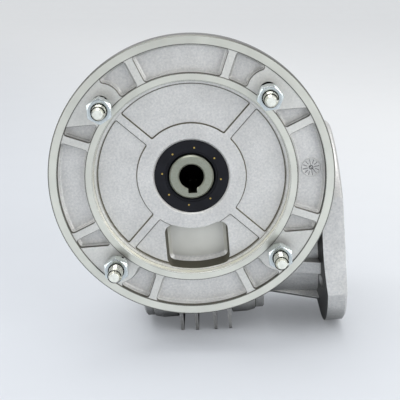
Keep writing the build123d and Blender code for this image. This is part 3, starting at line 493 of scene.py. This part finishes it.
    # Painted highlight, above full tone, on the bores and the open walls of the outer pockets
    open_wall = add(tree, "ShaderNodeMath", {0: pocket, 1: steep}, operation="MULTIPLY")
    bare = add(tree, "ShaderNodeMath", {0: open_wall, 1: bored}, operation="MAXIMUM")
    painted_highlight = add(tree, "ShaderNodeMath", {0: bare, 1: look.painted_highlight}, operation="MULTIPLY")
    lifted_tone = add(tree, "ShaderNodeMath", {0: tone, 1: painted_highlight}, operation="MAXIMUM")
    final = add(tree, "ShaderNodeMath", {0: lifted_tone, 1: marked}, operation="MULTIPLY")
    toned = add(tree, "ShaderNodeVectorMath", {0: crease_shaded.outputs[2], 1: final}, operation="MULTIPLY")

    rough = add(tree, "ShaderNodeMix", {0: turned, 2: 0.50, 3: 0.36}, data_type="FLOAT")
    relief = add(tree, "ShaderNodeMix", {0: turned, 2: grain, 3: marks}, data_type="FLOAT")
    height = add(tree, "ShaderNodeMix", {0: turned, 2: 0.00014, 3: 0.00001}, data_type="FLOAT")
    bump = add(tree, "ShaderNodeBump", {
        "Height": relief, "Strength": 0.35, "Distance": height, "Normal": rounded})
    surface = add(tree, "ShaderNodeBsdfPrincipled", {
        "Base Color": toned, "Metallic": 0.85, "Roughness": rough, "Normal": bump})
    add(tree, "ShaderNodeOutputMaterial", {"Surface": surface})
    return material


def plated_or_ground_steel(name, colour, roughness, scratch, metallic=1.0):
    """Steel with a fine uneven skin: plating, grinding or phosphate, by colour and roughness,
    with painted shade, darker, where neighbours stand close."""
    material, tree = new_material(name)
    place = add(tree, "ShaderNodeTexCoord").outputs["Object"]
    wear = add(tree, "ShaderNodeTexNoise", {
        "Vector": place, "Scale": 1 / scratch, "Detail": 5.0, "Roughness": 0.6})
    base = uneven(tree, colour, wear, 0.84, 1.06)
    rough = add(tree, "ShaderNodeMapRange", {
        "Value": wear, "From Min": 0.3, "From Max": 0.7,
        "To Min": roughness * 0.8, "To Max": roughness * 1.25})
    # Painted shade: the film factor darkens the steel where neighbours stand close
    shade_ao = add(tree, "ShaderNodeAmbientOcclusion", {"Distance": 0.020}, samples=6, only_local=False)
    film = add(tree, "ShaderNodeMapRange", {
        "Value": shade_ao.outputs["AO"], "From Min": 0.40, "From Max": 0.90, "To Min": 0.22, "To Max": 1.0})
    shaded_base = add(tree, "ShaderNodeVectorMath", {0: base, 1: film}, operation="MULTIPLY")
    rounded = add(tree, "ShaderNodeBevel", {"Radius": 0.0003}, samples=4)
    bump = add(tree, "ShaderNodeBump", {
        "Height": wear, "Strength": 0.12, "Distance": 0.0001, "Normal": rounded})
    surface = add(tree, "ShaderNodeBsdfPrincipled", {
        "Base Color": shaded_base, "Metallic": metallic, "Roughness": rough, "Normal": bump})
    add(tree, "ShaderNodeOutputMaterial", {"Surface": surface})
    return material


def ground_steel_with_shaded_bore(name, colour, bore_shade_colour):
    """Hardened steel, ground and kept under oil: satin grey outside, with painted shade, near black, in the
    bore.
    """
    grinding = 0.000909
    bore_edge = 0.0094
    bore_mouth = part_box("worm_shaft")[0].y - RIM_Y + 0.0012
    material, tree = new_material(name)
    place = add(tree, "ShaderNodeTexCoord").outputs["Object"]
    _, radius, depth = about_worm_axis(tree, add(tree, "ShaderNodeSeparateXYZ", {0: place}).outputs)
    wear = add(tree, "ShaderNodeTexNoise", {"Vector": place, "Scale": 1 / grinding, "Detail": 4.0})
    base = uneven(tree, colour, wear, 0.88, 1.06)
    # Painted shade, near black, fills the bore
    inside = add(tree, "ShaderNodeMath", {
        0: within(tree, radius, LEAST, bore_edge), 1: within(tree, depth, bore_mouth, MOST, 0.0006)},
        operation="MULTIPLY")
    bore_shaded = add(tree, "ShaderNodeMix", {0: inside, 6: base, 7: linear(bore_shade_colour)}, data_type="RGBA")
    bump = add(tree, "ShaderNodeBump", {"Height": wear, "Strength": 0.12, "Distance": 0.0001})
    surface = add(tree, "ShaderNodeBsdfPrincipled", {
        "Base Color": bore_shaded.outputs[2], "Metallic": 1.0, "Roughness": 0.38, "Normal": bump})
    add(tree, "ShaderNodeOutputMaterial", {"Surface": surface})
    return material


def moulded_rubber(name, colour):
    """Nitrile rubber from a mould: nearly black, satin, with a trace of assembly grease."""
    mould_grain = 0.00111
    smear_length = 0.00714
    material, tree = new_material(name)
    place = add(tree, "ShaderNodeTexCoord").outputs["Object"]
    skin = add(tree, "ShaderNodeTexNoise", {"Vector": place, "Scale": 1 / mould_grain, "Detail": 4.0})
    smear = add(tree, "ShaderNodeTexNoise", {"Vector": place, "Scale": 1 / smear_length, "Detail": 3.0})
    base = uneven(tree, colour, smear, 0.85, 1.35, (0.35, 0.7))
    rough = add(tree, "ShaderNodeMapRange", {
        "Value": smear, "From Min": 0.3, "From Max": 0.7, "To Min": 0.50, "To Max": 0.70})
    bump = add(tree, "ShaderNodeBump", {"Height": skin, "Strength": 0.15, "Distance": 0.0001})
    surface = add(tree, "ShaderNodeBsdfPrincipled", {
        "Base Color": base, "Roughness": rough, "Specular IOR Level": 0.15, "Normal": bump})
    add(tree, "ShaderNodeOutputMaterial", {"Surface": surface})
    return material


def pressed_fibre(name, colour):
    """Gasket paper: matt, with short fibres."""
    fibre_length = 0.000625
    material, tree = new_material(name)
    place = add(tree, "ShaderNodeTexCoord").outputs["Object"]
    fibre = add(tree, "ShaderNodeTexNoise", {"Vector": place, "Scale": 1 / fibre_length, "Detail": 6.0})
    base = uneven(tree, colour, fibre, 0.7, 1.3, (0.0, 1.0))
    bump = add(tree, "ShaderNodeBump", {"Height": fibre, "Strength": 0.3, "Distance": 0.0001})
    surface = add(tree, "ShaderNodeBsdfPrincipled", {"Base Color": base, "Roughness": 0.85, "Normal": bump})
    add(tree, "ShaderNodeOutputMaterial", {"Surface": surface})
    return material


def studio_paper(name, setup):
    """Seamless paper, a little paler away from the camera and to the right."""
    tooth_size = 0.0333
    material, tree = new_material(name)
    place = add(tree, "ShaderNodeTexCoord").outputs["Object"]
    axes = add(tree, "ShaderNodeSeparateXYZ", {0: place}).outputs
    # Painted light: the paper's colour gets paler to the right and away, as the softboxes' light falls across
    # it
    along = add(tree, "ShaderNodeMath", {
        0: axes["X"], 1: setup.fade_slant, 2: axes["Y"]}, operation="MULTIPLY_ADD")
    way = add(tree, "ShaderNodeMapRange", {
        "Value": along, "From Min": setup.fade[0], "From Max": setup.fade[1]},
        interpolation_type="SMOOTHSTEP")
    tooth = add(tree, "ShaderNodeTexNoise", {"Vector": place, "Scale": 1 / tooth_size, "Detail": 2.0})
    even = add(tree, "ShaderNodeMapRange", {"Value": tooth, "To Min": 0.99, "To Max": 1.01})
    mix = add(tree, "ShaderNodeMix", {
        0: way, 6: linear(setup.floor_colour), 7: linear(setup.backdrop_colour)}, data_type="RGBA")
    base = add(tree, "ShaderNodeVectorMath", {0: mix.outputs[2], 1: even}, operation="MULTIPLY")
    # Close under the gearbox the paper lies in its shade
    contact = add(tree, "ShaderNodeAmbientOcclusion", {"Distance": 0.035}, samples=8, only_local=False)
    lit = add(tree, "ShaderNodeMapRange", {
        "Value": contact.outputs["AO"], "From Min": 0.0, "From Max": 0.70, "To Min": 0.45, "To Max": 1.0},
        interpolation_type="SMOOTHSTEP")
    shaded = add(tree, "ShaderNodeVectorMath", {0: base, 1: lit}, operation="MULTIPLY")
    surface = add(tree, "ShaderNodeBsdfPrincipled", {
        "Base Color": shaded, "Roughness": 0.9, "Specular IOR Level": 0.1})
    # Part of the paper's own tone shows as it is, so that shadows on it stay pale
    flat = add(tree, "ShaderNodeEmission", {"Color": shaded, "Strength": 1.0})
    seen = add(tree, "ShaderNodeMath", {
        0: add(tree, "ShaderNodeLightPath").outputs["Is Camera Ray"], 1: setup.plain_share},
        operation="MULTIPLY")
    blend = add(tree, "ShaderNodeMixShader", {0: seen, 1: surface, 2: flat})
    add(tree, "ShaderNodeOutputMaterial", {"Surface": blend})
    return material


class GEARBOX_OT_castings(bpy.types.Operator):
    """Blasted and turned aluminium on the housing, flanges and cover"""
    bl_idname = "gearbox.castings"
    bl_label = "Finish castings"

    def execute(self, context):
        look = context.scene.gearbox_casting
        for *finish, nodes in CASTINGS:
            dress(cast_and_turned_aluminium(look, *finish), *nodes)
        return {"FINISHED"}


class GEARBOX_OT_studs(bpy.types.Operator):
    """Loose motor studs with their nuts and spring washers, and the finish of the other fasteners"""
    bl_idname = "gearbox.studs"
    bl_label = "Build motor studs"

    def execute(self, context):
        sizes = context.scene.gearbox_studs
        zinc = plated_or_ground_steel("bright zinc plate", sizes.zinc_colour, 0.20, 0.0012)
        thread = plated_or_ground_steel("rolled and plated thread", sizes.thread_colour, 0.14, 0.0020)
        black = plated_or_ground_steel("black oxide on steel", sizes.oxide_colour, 0.42, 0.0008)
        dress(zinc, "motor_flange_screws", "oil_plugs")
        dress(black, "side_cover_screws", "output_flange_screws")
        low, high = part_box("motor_bolts")
        reach = sizes.circle / 2 * math.sqrt(0.5)
        sets = {"motor_studs": bmesh.new(), "stud_nuts": bmesh.new(), "stud_washers": bmesh.new()}
        # A loose stud first shifts in its hole, then leans
        shift = 0.45
        for side, rise, front, turn, lean in (
                (-1, 1, sizes.upper_nut, -2, sizes.left_lean), (1, 1, sizes.upper_nut, -25, sizes.right_lean),
                (-1, -1, sizes.lower_nut, 0, (0, 0)), (1, -1, sizes.lower_nut, 0, (0, 0))):
            seat = Vector((side * reach, RIM_Y, SHAFT_HEIGHT + rise * reach))
            play = Vector((lean[0], 0, lean[1])) * shift
            across, up = [math.atan((1 - shift) * sag / front) for sag in lean]
            place = (Matrix.Translation(seat + play) @ Matrix.Rotation(-up, 4, "X")
                     @ Matrix.Rotation(across, 4, "Z") @ Matrix.Rotation(math.radians(90), 4, "X"))
            back = front - sizes.nut_height
            pieces = (
                ("motor_studs", self.stud(sizes, RIM_Y - low.y, high.y - RIM_Y)),
                ("stud_nuts", self.nut(sizes, back, turn)),
                ("stud_washers", self.washer(sizes, back - sizes.washer_thickness)))
            for name, piece in pieces:
                bmesh.ops.recalc_face_normals(piece, faces=piece.faces)
                bmesh.ops.transform(piece, matrix=place, verts=piece.verts)
                held = bpy.data.meshes.new("held")
                piece.to_mesh(held)
                piece.free()
                sets[name].from_mesh(held)
                bpy.data.meshes.remove(held)
        as_object("motor_studs", sets["motor_studs"], thread, "gearbox", "bolt_zinc", "motor_bolts")
        as_object("stud_nuts", sets["stud_nuts"], zinc, "gearbox", "nut_zinc", "motor_nuts")
        as_object("stud_washers", sets["stud_washers"], zinc, "gearbox", "zinc_steel", "spring_washers")
        return {"FINISHED"}

    def stud(self, sizes, tip, back):
        """One stud along Z: its tip in front of the rim plane, its hexagon head behind the flange."""
        stud = bmesh.new()
        sides, steps_a_turn = 32, 24
        overlap = 0.0005
        crest, pitch = sizes.diameter / 2, sizes.pitch
        root = crest - 0.3 * pitch
        chamfer = crest - sizes.tip_diameter / 2
        turns = int((tip + back - sizes.head_height - chamfer) / pitch) - 1
        # The thread is one pitch of its 60 degree profile spun along the shank
        profile = ((crest, 0), (crest, 0.14), (root, 0.44), (root, 0.56), (crest, 0.86), (crest, 1))
        flank = [stud.verts.new((radius, 0, tip - chamfer - pitch * along)) for radius, along in profile]
        edges = [stud.edges.new(pair) for pair in zip(flank, flank[1:])]
        bmesh.ops.spin(
            stud, geom=flank + edges, cent=(0, 0, 0), axis=(0, 0, 1), dvec=(0, 0, -pitch / steps_a_turn),
            angle=math.radians(360 * turns), steps=steps_a_turn * turns, use_merge=False)
        bmesh.ops.remove_doubles(stud, verts=stud.verts, dist=1e-6)
        bmesh.ops.create_cone(
            stud, cap_ends=True, cap_tris=False, segments=sides, radius1=crest * 0.999,
            radius2=sizes.tip_diameter / 2, depth=chamfer + pitch,
            matrix=Matrix.Translation((0, 0, tip - (chamfer + pitch) / 2)))
        neck = tip - chamfer - pitch * turns + overlap + back - sizes.head_height
        bmesh.ops.create_cone(
            stud, cap_ends=True, cap_tris=False, segments=sides, radius1=crest, radius2=crest, depth=neck,
            matrix=Matrix.Translation((0, 0, sizes.head_height - back + neck / 2)))
        head = bmesh.ops.create_cone(
            stud, cap_ends=True, cap_tris=False, segments=6, radius1=sizes.flats / math.sqrt(3),
            radius2=sizes.flats / math.sqrt(3), depth=sizes.head_height,
            matrix=Matrix.Translation((0, 0, sizes.head_height / 2 - back)))
        rim = [e for e in stud.edges if all(v in head["verts"] for v in e.verts)
               and all(abs(v.co.z + back) < 1e-6 for v in e.verts)]
        bmesh.ops.bevel(
            stud, geom=rim, offset=0.0008, offset_type="OFFSET", affect="EDGES", segments=2,
            profile=0.5, material=-1)
        return stud

    def nut(self, sizes, back, turn):
        """One hexagon nut along Z with its corners turned down and its thread countersunk."""
        cuts = 5
        nut = bmesh.new()
        hexagon = bmesh.ops.create_circle(
            nut, cap_ends=False, segments=6, radius=sizes.flats / math.sqrt(3))["verts"]
        outer = list({e for v in hexagon for e in v.link_edges})
        outer = [e for e in bmesh.ops.subdivide_edges(nut, edges=outer, cuts=cuts)["geom_split"]
                 if isinstance(e, bmesh.types.BMEdge)]
        face_r = sizes.flats / 2 * 0.95
        rings = [outer]
        for radius in (face_r, sizes.diameter / 2 + sizes.nut_gap):
            circle = bmesh.ops.create_circle(
                nut, cap_ends=False, segments=6 * (cuts + 1), radius=radius)["verts"]
            rings.append(list({e for v in circle for e in v.link_edges}))
        for pair in zip(rings, rings[1:]):
            bmesh.ops.bridge_loops(nut, edges=pair[0] + pair[1])
        grown = bmesh.ops.extrude_face_region(nut, geom=nut.faces[:])["geom"]
        top = [v for v in grown if isinstance(v, bmesh.types.BMVert)]
        bmesh.ops.translate(nut, verts=top, vec=(0, 0, sizes.nut_height))
        # The corners are turned down at 30 degrees on both sides
        for vert in nut.verts:
            drop = max(0.0, vert.co.xy.length - face_r) * math.tan(math.radians(30))
            vert.co.z += -drop if vert.co.z > sizes.nut_height / 2 else drop
        mouth = [e for e in nut.edges if e.is_valid and all(
            v.co.z > sizes.nut_height * 0.9 and v.co.xy.length < face_r * 0.8 for v in e.verts)]
        bmesh.ops.bevel(
            nut, geom=mouth, offset=0.0004, offset_type="OFFSET", affect="EDGES", segments=1,
            profile=0.5, material=-1)
        bmesh.ops.transform(
            nut, matrix=Matrix.Translation((0, 0, back)) @ Matrix.Rotation(math.radians(turn), 4, "Z"),
            verts=nut.verts)
        return nut

    def washer(self, sizes, back):
        """One split spring washer along Z, a bar wound into a ring with its ends apart."""
        bore_gap = 0.0002
        first_end, gap = math.radians(60), math.radians(12)
        washer = bmesh.new()
        wire = (sizes.washer_diameter - sizes.diameter) / 2 - bore_gap
        bar = bmesh.ops.create_grid(washer, x_segments=1, y_segments=1, size=0.5, matrix=(
            Matrix.Translation((sizes.washer_diameter / 2 - wire / 2, 0, back + sizes.washer_thickness / 2))
            @ Matrix.Rotation(math.radians(90), 4, "X")
            @ Matrix.Diagonal((wire, sizes.washer_thickness * 0.94, 1, 1))))["verts"]
        bmesh.ops.rotate(washer, cent=(0, 0, 0), matrix=Matrix.Rotation(first_end, 3, "Z"), verts=bar)
        bmesh.ops.spin(
            washer, geom=washer.verts[:] + washer.edges[:] + washer.faces[:], cent=(0, 0, 0),
            axis=(0, 0, 1), dvec=(0, 0, 0), angle=2 * math.pi - gap, steps=48, use_merge=False)
        return washer


class GEARBOX_OT_date_dial(bpy.types.Operator):
    """Plain date insert in the right-hand pocket: a hub, a pointer and bare ticks"""
    bl_idname = "gearbox.date_dial"
    bl_label = "Build date dial"

    def execute(self, context):
        sizes = context.scene.gearbox_dial
        skin = plated_or_ground_steel("steel date insert", sizes.colour, 0.5, 0.0005, metallic=0.6)
        dial = bmesh.new()
        # Every third tick is a long one
        short, long, tick_end, first_turn = 0.42 * sizes.radius, 0.55 * sizes.radius, 0.86 * sizes.radius, 8
        for index in range(sizes.ticks):
            length = short if index % 3 else long
            self.bar(dial, sizes, tick_end - length / 2, length, 360 / sizes.ticks * index + first_turn)
        self.bar(dial, sizes, -0.10 * sizes.radius, 0.70 * sizes.radius, sizes.pointer)
        faces = []
        for segments, outer, inner in (
                (24, 0.24 * sizes.radius, 0.14 * sizes.radius),
                (48, sizes.radius, sizes.radius - sizes.line)):
            ring = [vert for radius in (outer, inner) for vert in bmesh.ops.create_circle(
                dial, cap_ends=False, segments=segments, radius=radius)["verts"]]
            edges = list({e for v in ring for e in v.link_edges})
            faces += bmesh.ops.bridge_loops(dial, edges=edges)["faces"]
        raised = bmesh.ops.extrude_face_region(dial, geom=faces)["geom"]
        bmesh.ops.translate(
            dial, verts=[v for v in raised if isinstance(v, bmesh.types.BMVert)], vec=(0, 0, sizes.height))
        bmesh.ops.recalc_face_normals(dial, faces=dial.faces)
        place = Matrix.Translation((sizes.offset, RIM_Y + sizes.floor, SHAFT_HEIGHT)) @ Matrix.Rotation(
            math.radians(90), 4, "X")
        bmesh.ops.transform(dial, matrix=place, verts=dial.verts)
        as_object("date_dial", dial, skin, "gearbox", "cast_aluminium")
        return {"FINISHED"}

    def bar(self, dial, sizes, middle, length, turn):
        """One raised bar that points away from the centre of the dial."""
        bmesh.ops.create_cube(dial, size=1.0, matrix=(
            Matrix.Rotation(math.radians(turn), 4, "Z") @ Matrix.Translation((middle, 0, sizes.height / 2))
            @ Matrix.Diagonal((length, sizes.line, sizes.height, 1))))


class GEARBOX_OT_seals(bpy.types.Operator):
    """Nitrile shaft seals, with the moulded pips of the input seal"""
    bl_idname = "gearbox.seals"
    bl_label = "Build seals"

    def execute(self, context):
        sizes = context.scene.gearbox_seals
        rubber = moulded_rubber("moulded nitrile rubber", sizes.rubber_colour)
        dress(rubber, "input_seal", "output_seal_left", "output_seal_right", "rear_cap")
        ochre = plated_or_ground_steel("ochre mould pips", sizes.pip_colour, 0.5, 0.0006, metallic=0.4)
        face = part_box("input_seal")[0].y
        first_pip = 80
        pips = bmesh.new()
        for index in range(sizes.pips):
            turn = math.radians(first_pip + 360 / sizes.pips * index)
            across = sizes.pip_circle / 2 * math.cos(turn)
            rise = sizes.pip_circle / 2 * math.sin(turn)
            dome = bmesh.ops.create_uvsphere(
                pips, u_segments=12, v_segments=8, radius=sizes.pip_diameter / 2)
            bmesh.ops.scale(pips, verts=dome["verts"], vec=(1, 0.5, 1))
            bmesh.ops.translate(pips, verts=dome["verts"], vec=(across, face, SHAFT_HEIGHT + rise))
        as_object("input_seal_pips", pips, ochre, "gearbox", "black_rubber")
        return {"FINISHED"}


class GEARBOX_OT_running_parts(bpy.types.Operator):
    """Finishes of the shafts, the gears and the bearings"""
    bl_idname = "gearbox.running_parts"
    bl_label = "Finish running parts"

    def execute(self, context):
        look = context.scene.gearbox_running
        ground = ground_steel_with_shaded_bore(
            "ground steel with an oil film", look.ground_colour, look.bore_shade_colour)
        dress(ground, "worm_shaft", "front_bearing_spacer")
        bearings = [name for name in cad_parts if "_bearing_" in name and "spacer" not in name]
        for name, colour, roughness, scratch, nodes in (
                ("polished bearing steel", look.polished_colour, 0.15, 0.0020, bearings),
                ("machined bronze", look.bronze_colour, 0.32, 0.0010, ["wheel_rim"]),
                ("machined grey iron", look.iron_colour, 0.42, 0.0008, ["output_hub"]),
                ("phosphated spring steel", look.spring_colour, 0.5, 0.0008, ["rear_circlip"]),
                ("soft copper", look.copper_colour, 0.35, 0.0009, ["plug_washers"])):
            dress(plated_or_ground_steel(name, colour, roughness, scratch), *nodes)
        fibre = pressed_fibre("pressed gasket fibre", look.fibre_colour)
        dress(fibre, "side_cover_gasket", "output_flange_gasket", "motor_flange_gasket")
        return {"FINISHED"}


class GEARBOX_OT_studio(bpy.types.Operator):
    """Paper floor, softboxes and camera"""
    bl_idname = "gearbox.studio"
    bl_label = "Build studio"

    def execute(self, context):
        setup = context.scene.gearbox_studio
        self.floor(setup)
        for name, place, size, power in SOFTBOXES:
            self.lamp(name, place, size, getattr(setup, power))
        self.room(context, setup)
        self.camera(context, setup)
        context.scene.view_settings.view_transform = "Standard"
        return {"FINISHED"}

    def floor(self, setup):
        # The gearbox stands on its fins and on the middle of its output flange's lowest edge
        contact = 0.0115
        support = Vector((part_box("output_flange")[1].x - contact, 0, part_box("output_flange")[0].z))
        half_width, front, length, curve = 12.0, -12.0, 14.0, 1.5
        sheet = bmesh.new()
        near = [sheet.verts.new((x, front, 0)) for x in (-half_width, half_width)]
        edge = sheet.edges.new(near)
        grown = bmesh.ops.extrude_edge_only(sheet, edges=[edge])
        moved = [v for v in grown["geom"] if isinstance(v, bmesh.types.BMVert)]
        bmesh.ops.translate(sheet, verts=moved, vec=(0, length, 0))
        last = [e for e in grown["geom"] if isinstance(e, bmesh.types.BMEdge)
                and all(v in moved for v in e.verts)]
        bmesh.ops.spin(
            sheet, geom=moved + last, cent=(0, front + length, curve), axis=(1, 0, 0), dvec=(0, 0, 0),
            angle=math.radians(80), steps=24, use_merge=False)
        bmesh.ops.transform(
            sheet, verts=sheet.verts,
            matrix=Matrix.Translation(support) @ Matrix.Rotation(setup.tilt, 4, "Y"))
        bmesh.ops.recalc_face_normals(sheet, faces=sheet.faces)
        mesh = bpy.data.meshes.new("paper_floor")
        sheet.to_mesh(mesh)
        sheet.free()
        mesh.materials.append(studio_paper("seamless studio paper", setup))
        floor = bpy.data.objects.new("paper_floor", mesh)
        bpy.context.scene.collection.objects.link(floor)

    def lamp(self, name, place, size, power):
        aim = Vector((0.0, -0.02, 0.03))
        light = bpy.data.lights.new(name, "AREA")
        light.shape = "SQUARE"
        light.size = size
        light.energy = power
        lamp = bpy.data.objects.new(name, light)
        lamp.location = place
        lamp.rotation_euler = (aim - lamp.location).to_track_quat("-Z", "Y").to_euler()
        bpy.context.scene.collection.objects.link(lamp)

    def room(self, context, setup):
        world = bpy.data.worlds.new("soft_room")
        world.use_nodes = True
        tree = world.node_tree
        tree.nodes.clear()
        # The room is darker behind the camera than round the paper
        way = add(tree, "ShaderNodeSeparateXYZ", {0: add(tree, "ShaderNodeTexCoord").outputs["Generated"]})
        fall = add(tree, "ShaderNodeMapRange", {
            "Value": way.outputs["Y"], "From Min": -0.9, "From Max": 0.3,
            "To Min": setup.room_light * setup.front_share, "To Max": setup.room_light})
        seen = add(tree, "ShaderNodeLightPath").outputs["Is Camera Ray"]
        level = add(tree, "ShaderNodeMix", {0: seen, 2: fall, 3: setup.seen_light}, data_type="FLOAT")
        light = add(tree, "ShaderNodeBackground", {"Color": linear(setup.room_colour), "Strength": level})
        add(tree, "ShaderNodeOutputWorld", {"Surface": light})
        context.scene.world = world

    def camera(self, context, setup):
        data = bpy.data.cameras.new("camera")
        data.lens = setup.lens
        data.sensor_width = 36.0
        data.clip_start = 0.01
        data.clip_end = 20.0
        camera = bpy.data.objects.new("camera", data)
        turn, lift, roll = setup.azimuth, setup.elevation, setup.roll
        back = Vector((math.sin(turn) * math.cos(lift), -math.cos(turn) * math.cos(lift), math.sin(lift)))
        level = Vector((math.cos(turn), math.sin(turn), 0))
        above = back.cross(level)
        right = math.cos(roll) * level - math.sin(roll) * above
        up = math.sin(roll) * level + math.cos(roll) * above
        centre = Vector((0, RIM_Y, SHAFT_HEIGHT))
        place = centre + back * setup.distance + right * setup.offset[0] + up * setup.offset[1]
        turned = Matrix((right, up, back)).transposed()
        camera.matrix_world = Matrix.Translation(place) @ turned.to_4x4()
        context.scene.collection.objects.link(camera)
        context.scene.camera = camera


class GEARBOX_PT_panel(bpy.types.Panel):
    """Lists the steps that build the gearbox's looks"""
    bl_idname = "GEARBOX_PT_panel"
    bl_label = "Worm gearbox"
    bl_space_type = "VIEW_3D"
    bl_region_type = "UI"
    bl_category = "Gearbox"

    def draw(self, context):
        for name, group, operator in STEPS:
            box = self.layout.box()
            for setting in group.__annotations__:
                box.prop(getattr(context.scene, name), setting)
            box.operator(operator.bl_idname)


STEPS = (
    ("gearbox_casting", CastingLook, GEARBOX_OT_castings),
    ("gearbox_studs", StudSizes, GEARBOX_OT_studs),
    ("gearbox_dial", DialSizes, GEARBOX_OT_date_dial),
    ("gearbox_seals", SealSizes, GEARBOX_OT_seals),
    ("gearbox_running", RunningLook, GEARBOX_OT_running_parts),
    ("gearbox_studio", StudioSetup, GEARBOX_OT_studio),
)


def register():
    for name, group, operator in STEPS:
        bpy.utils.register_class(group)
        setattr(bpy.types.Scene, name, PointerProperty(type=group))
        bpy.utils.register_class(operator)
    bpy.utils.register_class(GEARBOX_PT_panel)


def unregister():
    bpy.utils.unregister_class(GEARBOX_PT_panel)
    for name, group, operator in reversed(STEPS):
        bpy.utils.unregister_class(operator)
        delattr(bpy.types.Scene, name)
        bpy.utils.unregister_class(group)


def main():
    register()
    for _, _, operator in STEPS:
        getattr(bpy.ops.gearbox, operator.bl_idname.split(".")[1])()


if __name__ == "__main__":
    main()
